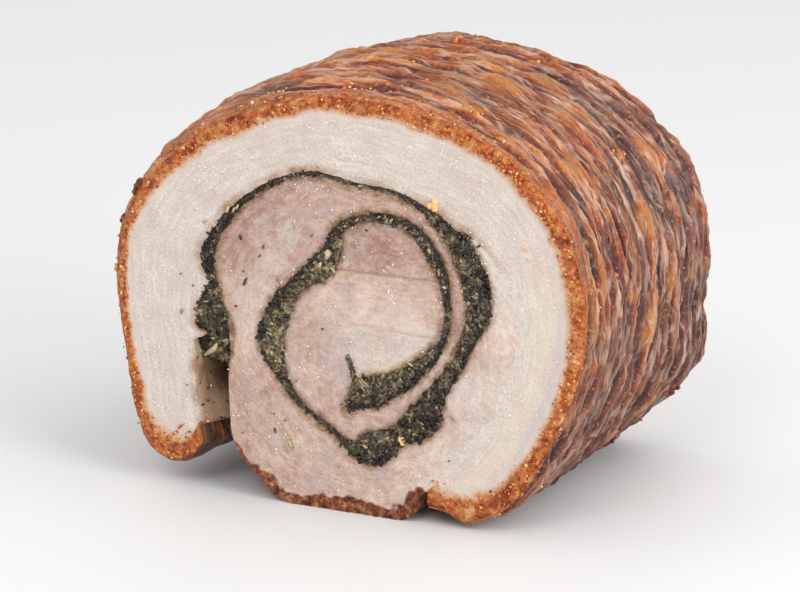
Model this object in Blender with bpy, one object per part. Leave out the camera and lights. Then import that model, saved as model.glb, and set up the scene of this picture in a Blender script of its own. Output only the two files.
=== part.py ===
"""Porchetta: a short length of rolled, roasted pork, cut across at both ends.

A sheet of pork with its fat and rind is rolled round a herb stuffing. The section below is
drawn in the plane of the front cut, in millimetres: x to the right, z up, the table at z = 0.
The roll runs back along +Y. The rind and fat wrap the roll like a C that is open underneath.
"""
import math

import bmesh
import bpy
import numpy as np
from mathutils import Matrix

MM = 0.001

# Driving dimensions, in millimetres
WIDTH = 180.0
TOP_Z = 148.6
WIDEST_Z = 80.0
LENGTH = 119.0
GAP = 0.3

# Roundness of the two shoulders: 2 is an ellipse, more is fuller
LEFT_ROUNDNESS = 1.87
RIGHT_ROUNDNESS = 2.2

# The two free ends of the rind, outside first, as (x, z)
LEFT_FLAP = [(-89.6, 62.0), (-87.4, 46.5), (-84.0, 29.0), (-79.6, 15.5), (-73.6, 9.8),
             (-67.7, 8.6), (-60.5, 11.2), (-55.6, 17.6)]
RIGHT_FLAP = [(88.9, 68.0), (84.6, 50.6), (77.4, 35.4), (68.3, 18.0), (59.0, 7.6),
              (51.5, 3.9), (45.1, 1.8), (38.6, 5.0), (31.4, 5.9)]
SLOT_WALL = [(-57.2, 24.0), (-58.3, 34.0), (-59.2, 44.0)]

# Where the fat of the right side meets the lean, from the top down, as (x, z)
FAT_SEAM = [(46.0, 105.8), (52.5, 100.6), (60.2, 91.2), (66.6, 83.0), (68.3, 73.0), (66.6, 62.0),
            (62.4, 49.4), (56.2, 37.0), (46.8, 26.6), (38.4, 18.6), (31.4, 12.4)]

# Underside of the lean, from the right to the open slot; it rests on its flat middle
LEAN_BASE = [(28.6, 8.6), (26.6, 3.4), (21.5, 0.0), (8.0, 0.0), (-8.0, 0.0), (-22.0, 0.0),
             (-28.5, 2.8), (-34.4, 8.6), (-40.6, 14.2), (-44.4, 22.0), (-45.2, 30.0), (-45.6, 42.0)]

# The stuffing winds clockwise from the slot to the core: (x, z, thickness) along its middle
HERB_LINE = [(-52.5, 48.0, 12.6), (-51.8, 60.0, 14.6), (-52.4, 68.5, 10.0), (-51.6, 76.5, 3.6),
             (-53.6, 86.0, 4.4), (-50.2, 95.2, 3.4), (-39.8, 107.0, 2.6), (-24.9, 117.0, 1.8),
             (-10.0, 120.6, 1.8), (4.0, 118.4, 1.5), (20.0, 116.9, 1.7), (34.0, 109.8, 3.6),
             (43.4, 100.4, 6.8), (49.0, 89.5, 8.8), (50.6, 78.6, 7.6), (46.8, 69.0, 4.6),
             (42.0, 58.5, 4.5), (35.6, 48.6, 5.6), (29.6, 37.6, 11.0), (20.6, 30.8, 6.6),
             (10.0, 24.2, 11.2), (2.6, 23.4, 5.0), (-2.0, 26.6, 1.7), (-8.6, 31.4, 1.8),
             (-18.2, 37.7, 2.1), (-25.0, 47.0, 3.4), (-28.7, 56.0, 8.4), (-28.0, 63.5, 8.2),
             (-24.4, 72.2, 6.8), (-17.7, 80.8, 4.8), (-8.4, 88.2, 7.6), (-3.9, 96.0, 5.2),
             (-2.8, 101.6, 3.2), (3.4, 105.6, 2.6), (14.0, 107.7, 2.8), (26.4, 104.5, 3.6),
             (34.8, 94.2, 4.0), (38.6, 82.0, 2.4), (38.4, 71.0, 2.2), (34.6, 63.0, 3.2),
             (25.6, 53.6, 6.0), (16.4, 47.8, 8.0), (8.8, 44.6, 10.2), (4.2, 42.0, 6.6),
             (1.2, 37.0, 1.8)]

# Spacing of the points on the drawn outlines; the rind has closer ones at its two free ends
SKIN_POINTS = 58
CLOSER_AT_ENDS = 0.4
SEAM_STEP = 5.0
HERB_STEP = 4.2
CRUMB_HEIGHT = 0.9
END_CLEARANCE = 0.8

# The rind is ridged round the roll: main folds this far apart, with finer folds between
RIDGE_SPACING = 9.2
FINE_SPACING = 6.1
RIDGE_HEIGHT = 1.25
STATIONS_PER_RIDGE = 5
FLAP_FADE = 26.0

# The roll isn't straight: it swells on the left, and sags towards the rear, where the top and
# the right shoulder are lower and the right side is fuller. Places are distances round from the
# left flap, with how far each reaches and how high it stands.
BULGE = (182.8, 91.4, 4.2)
TOP_DROP = (237.7, 73.1, 3.0)
SHOULDER_DROP = (300.0, 52.0, 4.4)
SIDE_SAG = (392.0, 19.0, 7.2)
SAG_POWER = 1.5

# Blisters on the rind: (distance round from the left flap, distance behind the cut, radius, height)
BLISTERS = [(255.0, 50.0, 8.0, 3.4), (209.0, 56.0, 7.0, 2.8), (238.0, 71.0, 8.0, 3.0),
            (260.0, 77.0, 7.5, 2.6), (188.0, 67.0, 9.0, 2.8), (246.0, 28.0, 8.0, 2.2),
            (277.0, 56.0, 7.0, 2.4), (298.0, 28.0, 8.0, 2.2), (307.0, 91.0, 8.0, 2.4),
            (326.0, 60.0, 8.5, 2.4), (365.0, 60.0, 8.5, 2.4), (403.0, 88.0, 8.0, 2.2),
            (150.0, 66.0, 8.0, 2.0), (110.0, 92.0, 9.0, 2.2), (64.0, 48.0, 8.0, 2.0)]

# Behind the cut the flap's inner wall leans over and all but closes the slot: the middle and
# spread of the leaning in height, how far it leans, and the depth at which it is complete
SLOT_MIDDLE = 21.0
SLOT_SPREAD = 12.0
SLOT_LEAN = 9.0
SLOT_DEPTH = 24.0
SLOT_SIDE = -64.0
SLOT_TOP = 44.0

COLOURS = {"rind": (0.36, 0.115, 0.028, 0.42), "fat": (0.80, 0.70, 0.58, 0.38),
           "lean": (0.60, 0.42, 0.33, 0.45), "herbs": (0.045, 0.048, 0.018, 0.75)}


def clear_scene():
    for thing in list(bpy.data.objects):
        bpy.data.objects.remove(thing, do_unlink=True)


def make_material(name):
    red, green, blue, roughness = COLOURS[name]
    material = bpy.data.materials.new(name)
    material.use_nodes = True
    shader = material.node_tree.nodes["Principled BSDF"]
    shader.inputs["Base Color"].default_value = (red, green, blue, 1.0)
    shader.inputs["Roughness"].default_value = roughness
    shader.inputs["Metallic"].default_value = 0.0
    return material


def smooth_curve(points, step):
    """A smooth curve through the points, as rows a given step apart; extra columns come along."""
    knots = np.array(points, float)
    knots = np.vstack([2 * knots[0] - knots[1], knots, 2 * knots[-1] - knots[-2]])
    spread = np.sqrt(np.linalg.norm(np.diff(knots[:, :2], axis=0), axis=1))
    times = np.concatenate([[0.0], np.cumsum(spread)])
    rows = []
    for i in range(1, len(knots) - 2):
        t0, t1, t2, t3 = times[i - 1:i + 3]
        t = np.linspace(t1, t2, 24, endpoint=False)[:, None]
        a1 = (t1 - t) / (t1 - t0) * knots[i - 1] + (t - t0) / (t1 - t0) * knots[i]
        a2 = (t2 - t) / (t2 - t1) * knots[i] + (t - t1) / (t2 - t1) * knots[i + 1]
        a3 = (t3 - t) / (t3 - t2) * knots[i + 1] + (t - t2) / (t3 - t2) * knots[i + 2]
        b1 = (t2 - t) / (t2 - t0) * a1 + (t - t0) / (t2 - t0) * a2
        b2 = (t3 - t) / (t3 - t1) * a2 + (t - t1) / (t3 - t1) * a3
        rows.append((t2 - t) / (t2 - t1) * b1 + (t - t1) / (t2 - t1) * b2)
    dense = np.vstack(rows + [knots[-2:-1]])
    return resample(dense, step)


def resample(dense, step):
    """Rows spaced evenly along a polyline, near the step asked for."""
    along = np.concatenate([[0.0], np.cumsum(np.linalg.norm(np.diff(dense[:, :2], axis=0), axis=1))])
    count = max(2, int(round(along[-1] / step)) + 1)
    stops = np.linspace(0.0, along[-1], count)
    columns = [np.interp(stops, along, dense[:, k]) for k in range(dense.shape[1])]
    return np.stack(columns, axis=1)


def left_normals(curve):
    """Unit normals on the left of the direction of travel."""
    tangent = np.gradient(curve[:, :2], axis=0)
    tangent /= np.linalg.norm(tangent, axis=1)[:, None]
    return np.stack([-tangent[:, 1], tangent[:, 0]], axis=1)


def dome_points():
    """Upper half of the roll, from the left side over the top to the right side."""
    points = []
    for degrees in range(172, 0, -12):
        angle = math.radians(degrees)
        roundness = LEFT_ROUNDNESS if degrees > 90 else RIGHT_ROUNDNESS
        reach = abs(math.cos(angle)) ** (2 / roundness)
        x = math.copysign(WIDTH / 2 * reach, math.cos(angle))
        points.append((x, WIDEST_Z + (TOP_Z - WIDEST_Z) * math.sin(angle) ** (2 / roundness)))
    return points


def skin_outline(count, closer):
    """Outside of the rind in the cut, from inside the left flap's tip to under the right one.

    Gives the points, the distance of each round the roll, and the whole girth."""
    dense = smooth_curve(LEFT_FLAP[::-1] + dome_points() + RIGHT_FLAP, 1.0)
    along = np.concatenate([[0.0], np.cumsum(np.linalg.norm(np.diff(dense, axis=0), axis=1))])
    turn = np.linspace(0.0, 2 * np.pi, count)
    around = along[-1] * (turn - closer * np.sin(turn)) / (2 * np.pi)
    points = np.stack([np.interp(around, along, dense[:, k]) for k in (0, 1)], axis=1)
    return points, around, along[-1]


def herb_middle(step):
    return smooth_curve(HERB_LINE, step)


def herb_side(middle, side, clearance):
    """One side of the stuffing, +1 outwards or -1 towards the core, moved out by a clearance."""
    return middle[:, :2] + left_normals(middle) * side * (middle[:, 2:3] / 2 + clearance)


def ridge_relief(around, behind):
    """Height of the rind's folds at a distance round the roll and behind the cut."""
    drift = 0.42 * np.sin(around / 47 + 0.6) + 0.2 * np.sin(around / 17.3 + 2.0 + behind / 31)
    main = np.cos(2 * np.pi * (behind / RIDGE_SPACING + drift))
    fine = np.cos(2 * np.pi * (behind / FINE_SPACING - 0.7 * drift + 0.3 * np.sin(around / 26)))
    blend = 0.5 + 0.5 * np.sin(around / 38 + behind / 23 + 1.2) * np.sin(around / 21 - behind / 44)
    height = RIDGE_HEIGHT * (main * (1 - 0.6 * blend) + 0.6 * blend * fine)
    for place, back, radius, rise in BLISTERS:
        near = ((around - place) ** 2 + (behind - back) ** 2) / radius ** 2
        height = height + rise * np.exp(-2.2 * near)
    return height


def bump(around, form):
    """A soft bump round a distance on the girth: (middle, reach, height)."""
    middle, reach, height = form
    return height * np.exp(-((around - middle) / reach) ** 2)


def rind_offset(around, behind, girth):
    """How far the rind stands out from the outline of the front cut."""
    to_end = np.minimum(around, girth - around)
    fade = np.clip(to_end / FLAP_FADE, 0.0, 1.0) ** 1.2
    depth = np.clip(behind / LENGTH, 0.0, 1.0)
    swell = bump(around, BULGE) * np.sin(np.pi * depth ** 0.62)
    sag = bump(around, SIDE_SAG) - bump(around, TOP_DROP) - bump(around, SHOULDER_DROP)
    return fade * (ridge_relief(around, behind) + swell + sag * depth ** SAG_POWER)


def slot_lean(point, behind):
    """How far a point of the flap's inner wall leans to the right at a distance behind the cut."""
    x, z = point
    if x < SLOT_SIDE or x > 0.0:
        return 0.0
    inwards = (x - SLOT_SIDE) / (SLOT_WALL[0][0] - SLOT_SIDE)
    below_top = min(max((SLOT_TOP - z) / (SLOT_TOP - SLOT_MIDDLE), 0.0), 1.0)
    by_height = math.exp(-((z - SLOT_MIDDLE) / SLOT_SPREAD) ** 2) * math.sqrt(below_top)
    from_cut = min(behind, LENGTH - behind) / SLOT_DEPTH
    by_depth = math.sin(math.pi / 2 * min(from_cut, 1.0))
    return SLOT_LEAN * min(inwards, 1.0) * by_height * by_depth


def lean_over(point, behind):
    return (point[0] + slot_lean(point, behind), point[1])


def place(point, behind):
    """A point of the section, in metres, at a distance behind the front cut."""
    return (point[0] * MM, (behind - LENGTH / 2) * MM, point[1] * MM)


def finish_object(name, mesh_maker, material_names, smooth_angle):
    """A named object from a bmesh, closed, facing outwards and shaded smooth."""
    bmesh.ops.recalc_face_normals(mesh_maker, faces=mesh_maker.faces)
    bmesh.ops.triangulate(mesh_maker, faces=mesh_maker.faces)
    mesh = bpy.data.meshes.new(name)
    mesh_maker.to_mesh(mesh)
    mesh_maker.free()
    for material_name in material_names:
        mesh.materials.append(make_material(material_name))
    mesh.shade_smooth()
    mesh.set_sharp_from_angle(angle=smooth_angle)
    piece = bpy.data.objects.new(name, mesh)
    bpy.context.collection.objects.link(piece)
    return piece


def nearest(curve, point):
    """Index of the curve's point nearest to the one given."""
    return int(np.argmin(np.linalg.norm(curve - np.array(point), axis=1)))


def fat_seam(herbs):
    """Where the fat leaves the herbs, as an index along them, and the seam from there down."""
    over = herb_side(herbs, 1, GAP)
    leaves = nearest(over, FAT_SEAM[0]) - 1
    return leaves, smooth_curve([tuple(over[leaves])] + FAT_SEAM, SEAM_STEP)


def fat_inner_edge(herbs):
    """Inside of the fat, from the left flap's tip up the slot, over the herbs and down the seam."""
    slot = smooth_curve(SLOT_WALL, SEAM_STEP)
    leaves, seam = fat_seam(herbs)
    return np.vstack([slot, herb_side(herbs, 1, GAP)[:leaves], seam])


def make_rind_and_fat(herbs):
    skin, around, girth = skin_outline(SKIN_POINTS, CLOSER_AT_ENDS)
    inner = fat_inner_edge(herbs)
    outward = left_normals(skin)
    stations = int(round(LENGTH / RIDGE_SPACING * STATIONS_PER_RIDGE)) + 1
    shape = bmesh.new()
    rows = []
    for behind in np.linspace(0.0, LENGTH, stations):
        stand = rind_offset(around, np.full_like(around, behind), girth)
        points = skin + outward * stand[:, None]
        rows.append([shape.verts.new(place(lean_over(point, behind), behind)) for point in points])
    walls = []
    for behind in (0.0, SLOT_DEPTH / 3, SLOT_DEPTH, LENGTH - SLOT_DEPTH, LENGTH - SLOT_DEPTH / 3, LENGTH):
        walls.append([shape.verts.new(place(lean_over(point, behind), behind)) for point in inner])
    rind_faces = []
    for near, far in zip(rows, rows[1:]):
        for i in range(len(skin) - 1):
            rind_faces.append(shape.faces.new((near[i], near[i + 1], far[i + 1], far[i])))
    for near, far in zip(walls, walls[1:]):
        for i in range(len(inner) - 1):
            shape.faces.new((near[i + 1], near[i], far[i], far[i + 1]))
    shape.faces.new([row[0] for row in rows] + [wall[0] for wall in walls[::-1]])
    shape.faces.new(([row[-1] for row in rows] + [wall[-1] for wall in walls[::-1]])[::-1])
    shape.faces.new(rows[0][::-1] + walls[0])
    shape.faces.new(rows[-1] + walls[-1][::-1])
    for face in shape.faces:
        face.material_index = 1
    for face in rind_faces:
        face.material_index = 0
    return finish_object("rind_and_fat", shape, ["rind", "fat"], math.radians(50))


def lean_outline(herbs):
    """Outline of the lean: down the fat seam, along the base, up the slot, round and back."""
    seam_rows = fat_seam(herbs)[1]
    seam = seam_rows - left_normals(seam_rows) * GAP
    inside = herb_side(herbs, -1, GAP)
    outside = herb_side(herbs, 1, GAP)
    beside = nearest(outside, seam[1])
    wedge_tip = (seam[1] + outside[beside]) / 2
    past_end = herbs[-1, :2] + (herbs[-1, :2] - herbs[-2, :2]) * END_CLEARANCE / HERB_STEP
    return np.vstack([wedge_tip, seam[2:], LEAN_BASE, inside[1:], past_end,
                      outside[beside + 1:][::-1]])


def make_lean_roll(herbs):
    outline = lean_outline(herbs)
    shape = bmesh.new()
    front = [shape.verts.new(place(point, 0.0)) for point in outline]
    bottom = shape.faces.new(front)
    extruded = bmesh.ops.extrude_face_region(shape, geom=[bottom], use_keep_orig=True)
    raised = [item for item in extruded["geom"] if isinstance(item, bmesh.types.BMVert)]
    bmesh.ops.translate(shape, verts=raised, vec=(0.0, LENGTH * MM, 0.0))
    return finish_object("lean_roll", shape, ["lean"], math.radians(35))


def make_herb_stuffing(herbs):
    """A winding band with a crumbly row of points along the middle of each cut end."""
    outside = herb_side(herbs, 1, 0.0)
    inside = herb_side(herbs, -1, 0.0)
    shape = bmesh.new()
    ends = []
    for behind, outwards in ((0.0, -1.0), (LENGTH, 1.0)):
        crumbs = [behind + outwards * CRUMB_HEIGHT * (0.5 + 0.5 * math.sin(2.4 * i * i))
                  for i in range(len(herbs))]
        ends.append(([shape.verts.new(place(p, behind)) for p in outside],
                     [shape.verts.new(place(p, c)) for p, c in zip(herbs, crumbs)],
                     [shape.verts.new(place(p, behind)) for p in inside]))
    (outer_a, middle_a, inner_a), (outer_b, middle_b, inner_b) = ends
    last = len(herbs) - 1
    for i in range(last):
        shape.faces.new((outer_a[i], outer_a[i + 1], middle_a[i + 1], middle_a[i]))
        shape.faces.new((middle_a[i], middle_a[i + 1], inner_a[i + 1], inner_a[i]))
        shape.faces.new((outer_b[i + 1], outer_b[i], middle_b[i], middle_b[i + 1]))
        shape.faces.new((middle_b[i + 1], middle_b[i], inner_b[i], inner_b[i + 1]))
        shape.faces.new((outer_a[i + 1], outer_a[i], outer_b[i], outer_b[i + 1]))
        shape.faces.new((inner_a[i], inner_a[i + 1], inner_b[i + 1], inner_b[i]))
    for i in (0, last):
        shape.faces.new((outer_a[i], middle_a[i], inner_a[i], inner_b[i], middle_b[i], outer_b[i]))
    return finish_object("herb_stuffing", shape, ["herbs"], math.radians(40))


def stand_on_origin(pieces):
    """Move every mesh so that the whole stands on the origin, centred over it."""
    corners = np.array([vertex.co[:] for piece in pieces for vertex in piece.data.vertices])
    low = corners.min(axis=0)
    high = corners.max(axis=0)
    shift = Matrix.Translation((-(low[0] + high[0]) / 2, -(low[1] + high[1]) / 2, -low[2]))
    for piece in pieces:
        piece.data.transform(shift)


def build():
    clear_scene()
    herbs = herb_middle(HERB_STEP)
    stand_on_origin([make_rind_and_fat(herbs), make_lean_roll(herbs), make_herb_stuffing(herbs)])


build()
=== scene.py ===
"""Porchetta: the looks of a short length of rolled, roasted pork, cut across at both ends.

The section is drawn in the plane of the front cut, in millimetres: x to the right, z up, the
table at z = 0. Distances behind the front cut run along +Y. Pieces are turned to metres last.
"""
import math

import bmesh
import bpy
import numpy as np
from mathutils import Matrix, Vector


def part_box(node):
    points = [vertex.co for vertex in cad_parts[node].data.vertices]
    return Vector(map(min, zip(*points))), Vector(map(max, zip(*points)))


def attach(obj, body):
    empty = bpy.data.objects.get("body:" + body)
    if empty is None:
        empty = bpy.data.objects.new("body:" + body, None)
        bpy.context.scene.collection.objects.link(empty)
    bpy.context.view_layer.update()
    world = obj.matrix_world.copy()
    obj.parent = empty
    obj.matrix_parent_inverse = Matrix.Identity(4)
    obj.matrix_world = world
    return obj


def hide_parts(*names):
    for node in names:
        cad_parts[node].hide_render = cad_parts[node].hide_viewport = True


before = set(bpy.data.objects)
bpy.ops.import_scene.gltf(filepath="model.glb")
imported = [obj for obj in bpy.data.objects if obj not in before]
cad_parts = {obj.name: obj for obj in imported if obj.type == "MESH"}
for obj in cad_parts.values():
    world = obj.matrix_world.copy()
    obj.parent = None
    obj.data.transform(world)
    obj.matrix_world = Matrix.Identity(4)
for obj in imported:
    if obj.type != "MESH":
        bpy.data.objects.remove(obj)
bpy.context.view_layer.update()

MM = 0.001

# Driving dimensions of the section, in millimetres
WIDTH = 180.0
TOP_Z = 148.6
WIDEST_Z = 80.0
GAP = 0.3
LEFT_ROUNDNESS = 1.87
RIGHT_ROUNDNESS = 2.2
LEFT_FLAP = [(-89.6, 62), (-87.4, 46.5), (-84, 29), (-79.6, 15.5), (-73.6, 9.8), (-67.7, 8.6),
             (-60.5, 11.2), (-55.6, 17.6)]
RIGHT_FLAP = [(88.9, 68), (84.6, 50.6), (77.4, 35.4), (68.3, 18), (59, 7.6), (51.5, 3.9), (45.1, 1.8),
              (38.6, 5), (31.4, 5.9)]
SLOT_WALL = [(-57.2, 24), (-58.3, 34), (-59.2, 44)]
FAT_SEAM = [(46, 105.8), (52.5, 100.6), (60.2, 91.2), (66.6, 83), (68.3, 73), (66.6, 62), (62.4, 49.4),
            (56.2, 37), (46.8, 26.6), (38.4, 18.6), (31.4, 12.4)]
LEAN_BASE = [(28.6, 8.6), (26.6, 3.4), (21.5, 0), (8, 0), (-8, 0), (-22, 0), (-28.5, 2.8), (-34.4, 8.6),
             (-40.6, 14.2), (-44.4, 22), (-45.2, 30), (-45.6, 42)]
# The stuffing winds clockwise from the slot to the core: (x, z, thickness) along its middle
HERB_LINE = [(-52.5, 48, 12.6), (-51.8, 60, 14.6), (-52.4, 68.5, 10), (-51.6, 76.5, 3.6),
             (-53.6, 86, 4.4), (-50.2, 95.2, 3.4), (-39.8, 107, 2.6), (-24.9, 117, 1.8),
             (-10, 120.6, 1.8), (4, 118.4, 1.5), (20, 116.9, 1.7), (34, 109.8, 3.6), (43.4, 100.4, 6.8),
             (49, 89.5, 8.8), (50.6, 78.6, 7.6), (46.8, 69, 4.6), (42, 58.5, 4.5), (35.6, 48.6, 5.6),
             (29.6, 37.6, 11), (20.6, 30.8, 6.6), (10, 24.2, 11.2), (2.6, 23.4, 5), (-2, 26.6, 1.7),
             (-8.6, 31.4, 1.8), (-18.2, 37.7, 2.1), (-25, 47, 3.4), (-28.7, 56, 8.4), (-28, 63.5, 8.2),
             (-24.4, 72.2, 6.8), (-17.7, 80.8, 4.8), (-8.4, 88.2, 7.6), (-3.9, 96, 5.2),
             (-2.8, 101.6, 3.2), (3.4, 105.6, 2.6), (14, 107.7, 2.8), (26.4, 104.5, 3.6),
             (34.8, 94.2, 4), (38.6, 82, 2.4), (38.4, 71, 2.2), (34.6, 63, 3.2), (25.6, 53.6, 6),
             (16.4, 47.8, 8), (8.8, 44.6, 10.2), (4.2, 42, 6.6), (1.2, 37, 1.8)]
HERB_STEP = 4.2

# The rind's folds: spacing, and the height of each kind of relief
RIDGE_SPACING = 9.2
FINE_SPACING = 6.1
MAIN_FOLD = 2.6
FINE_FOLD = 1.9
BRANCH = 1.3
WRINKLE = 0.7
LUMP = 0.35
FURROW = 0.9
FLAP_FADE = 26.0

# Swelling and sagging of the roll: distance round from the left flap, reach, height
BULGE = (182.8, 91.4, 4.2)
TOP_DROP = (237.7, 73.1, 3.0)
SHOULDER_DROP = (300.0, 52.0, 4.4)
SIDE_SAG = (392.0, 19.0, 7.2)
SAG_POWER = 1.5

# Blisters on the rind: (distance round from the left flap, distance behind the cut, radius, height)
BLISTERS = [(255, 50, 9, 3.8), (209, 56, 7, 2.8), (238, 71, 8, 3), (260, 77, 7.5, 2.6),
            (188, 67, 9, 2.8), (246, 28, 8, 2.2), (277, 56, 7, 2.4), (298, 28, 8, 2.2),
            (307, 91, 8, 2.4), (326, 60, 8.5, 2.4), (365, 60, 8.5, 2.4), (403, 88, 8, 2.2),
            (150, 66, 8, 2), (110, 92, 9, 2.2), (64, 48, 8, 2)]
BEAD_COUNT = 260
# Amber strips along the folds: (distance round, distance behind, length, width)
AMBER_STRIPS = [(326, 6, 22, 1.5), (325, 14.5, 18, 1.3), (323, 62.5, 15, 1.4), (330, 48, 13, 1.5),
                (236, 34, 17, 2), (262, 22, 15, 1.5), (352, 78, 12, 1.4), (300, 44, 12, 1.3),
                (215, 22, 12, 1.6), (372, 24, 12, 1.3), (180, 40, 14, 1.6)]

# Behind the cut the flap's inner wall leans over and narrows the slot
SLOT_MIDDLE = 21.0
SLOT_SPREAD = 12.0
SLOT_LEAN = 9.0
SLOT_DEPTH = 24.0
SLOT_SIDE = -64.0
SLOT_TOP = 44.0

# Thickness of the rind round the section: (distance round from the left flap, thickness)
RIND_THICKNESS = [(0, 26), (12, 15), (24, 10), (42, 4.8), (60, 3.2), (100, 2.9), (130, 4.4), (165, 5.8),
                  (200, 4.8), (240, 4.6), (285, 5.2), (325, 6.2), (360, 5.6), (395, 5.2), (415, 6.6),
                  (435, 9), (457, 13)]

# Pairs of facing points on the rind and on the inner edge of the fat
FACING = [((-73.6, 9.8), (-57.4, 27)), ((-84, 29), (-58.3, 36)), ((-89.6, 62), (-59, 58)),
          ((-89, 82), (-54.4, 79)), ((-75.8, 114.2), (-53, 95)), ((-40, 139), (-30, 116)),
          ((0, 148.5), (0, 120)), ((47, 141), (35, 112)), ((80, 115), (59, 93)), ((90, 81), (68, 76)),
          ((81, 43), (59.5, 43)), ((64.6, 12.4), (42, 22))]


def run_lengths(curve):
    """Distance along a polyline of each of its points."""
    return np.concatenate([[0.0], np.cumsum(np.linalg.norm(np.diff(curve[:, :2], axis=0), axis=1))])


def at_lengths(curve, stops):
    """Points of a polyline at given distances along it; extra columns come along."""
    along = run_lengths(curve)
    return np.stack([np.interp(stops, along, curve[:, k]) for k in range(curve.shape[1])], axis=-1)


def resample(curve, step):
    """Rows spaced evenly along a polyline, near the step asked for."""
    length = run_lengths(curve)[-1]
    return at_lengths(curve, np.linspace(0.0, length, max(2, int(round(length / step)) + 1)))


def between(t, start, end, first, second):
    """The point between two others, at a time between theirs."""
    return (end - t) / (end - start) * first + (t - start) / (end - start) * second


def smooth_curve(points, step):
    """A smooth curve through the points, as rows a given step apart; extra columns come along."""
    knots = np.array(points, float)
    knots = np.vstack([2 * knots[0] - knots[1], knots, 2 * knots[-1] - knots[-2]])
    spread = np.sqrt(np.linalg.norm(np.diff(knots[:, :2], axis=0), axis=1))
    times = np.concatenate([[0.0], np.cumsum(spread)])
    rows = []
    for i in range(1, len(knots) - 2):
        t0, t1, t2, t3 = times[i - 1:i + 3]
        t = np.linspace(t1, t2, 24, endpoint=False)[:, None]
        a1 = between(t, t0, t1, knots[i - 1], knots[i])
        a2 = between(t, t1, t2, knots[i], knots[i + 1])
        a3 = between(t, t2, t3, knots[i + 1], knots[i + 2])
        rows.append(between(t, t1, t2, between(t, t0, t2, a1, a2), between(t, t1, t3, a2, a3)))
    return resample(np.vstack(rows + [knots[-2:-1]]), step)


def left_normals(curve):
    """Unit normals on the left of the direction of travel."""
    tangent = np.gradient(curve[:, :2], axis=0)
    tangent /= np.linalg.norm(tangent, axis=1)[:, None]
    return np.stack([-tangent[:, 1], tangent[:, 0]], axis=1)


def nearest(curve, point):
    """Index of the curve's point nearest to the one given."""
    return int(np.argmin(np.linalg.norm(curve[:, :2] - np.array(point), axis=1)))


def dome_points():
    """Upper half of the roll, from the left side over the top to the right side."""
    points = []
    for degrees in range(172, 0, -12):
        angle = math.radians(degrees)
        roundness = LEFT_ROUNDNESS if degrees > 90 else RIGHT_ROUNDNESS
        reach = abs(math.cos(angle)) ** (2 / roundness)
        x = math.copysign(WIDTH / 2 * reach, math.cos(angle))
        points.append((x, WIDEST_Z + (TOP_Z - WIDEST_Z) * math.sin(angle) ** (2 / roundness)))
    return points


def herb_side(middle, side, clearance):
    """One side of the stuffing, +1 outwards or -1 towards the core, moved out by a clearance."""
    return middle[:, :2] + left_normals(middle) * side * (middle[:, 2:3] / 2 + clearance)


SKIN_LINE = smooth_curve(LEFT_FLAP[::-1] + dome_points() + RIGHT_FLAP, 1.0)
SKIN_TABLE = np.hstack([SKIN_LINE, left_normals(SKIN_LINE)])
GIRTH = run_lengths(SKIN_LINE)[-1]
HERBS = smooth_curve(HERB_LINE, HERB_STEP)
HERBS_FINE = resample(HERBS, 0.8)
BASE_LINE = smooth_curve(LEAN_BASE, 1.0)
SEAM_LINE = smooth_curve(FAT_SEAM, 1.0)

# Where the solids stand, read from the frame
LEAN_LOW, LEAN_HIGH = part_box("lean_roll")
FRONT_Y = LEAN_LOW.y
LENGTH = (LEAN_HIGH.y - LEAN_LOW.y) / MM
SHIFT_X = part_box("herb_stuffing")[0].x / MM - herb_side(HERBS, 1, 0.0)[:, 0].min()


def lattice_turn(column, row, seed):
    """A repeatable random angle for each crossing of a grid."""
    key = (column.astype(np.int64) * 374761393 + row.astype(np.int64) * 668265263 + seed * 974634777)
    key = key & 0xFFFFFFFF
    key = ((key ^ (key >> 13)) * 1274126177) & 0xFFFFFFFF
    return (key ^ (key >> 16)) / 0xFFFFFFFF * 2 * np.pi


def soft_noise(across, up, seed=0):
    """Smooth noise between about -1 and 1; one bump is about one unit wide."""
    column, row = np.floor(across), np.floor(up)
    u, v = across - column, up - row
    su = u * u * u * (u * (u * 6 - 15) + 10)
    sv = v * v * v * (v * (v * 6 - 15) + 10)
    corners = []
    for dv in (0, 1):
        for du in (0, 1):
            turn = lattice_turn(column + du, row + dv, seed)
            corners.append(np.cos(turn) * (u - du) + np.sin(turn) * (v - dv))
    low = corners[0] + su * (corners[1] - corners[0])
    high = corners[2] + su * (corners[3] - corners[2])
    return 1.6 * (low + sv * (high - low))


def rough_noise(across, up, seed=0, octaves=3):
    """Several sizes of smooth noise added up."""
    total = np.zeros_like(across)
    for k in range(octaves):
        total += soft_noise(across * 2 ** k, up * 2 ** k, seed + 17 * k) / 2 ** k
    return total / 1.6


def line_noise(along, seed):
    """Smooth noise along a line."""
    return soft_noise(along, 0 * along, seed)


def creases(across, up, seed=0):
    """Sharp branching crests where smooth noise passes zero: 1 on a crest, below 0 between."""
    return 1.0 - 2.6 * np.abs(soft_noise(across, up, seed))


def near(value, middle, half_width):
    """A soft bump of 1 round a value."""
    return np.exp(-((value - middle) / half_width) ** 2)


def toned(x, z, spots):
    """Sum of soft round spots on the cut: (x, z, reach, amount)."""
    return sum(amount * np.exp(-((x - middle) ** 2 + (z - height) ** 2) / reach ** 2)
               for middle, height, reach, amount in spots)


def step_up(value, start, end):
    """0 before start, 1 after end, smooth between; falls where end is below start."""
    t = np.clip((value - start) / (end - start), 0.0, 1.0)
    return t * t * (3 - 2 * t)


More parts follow.
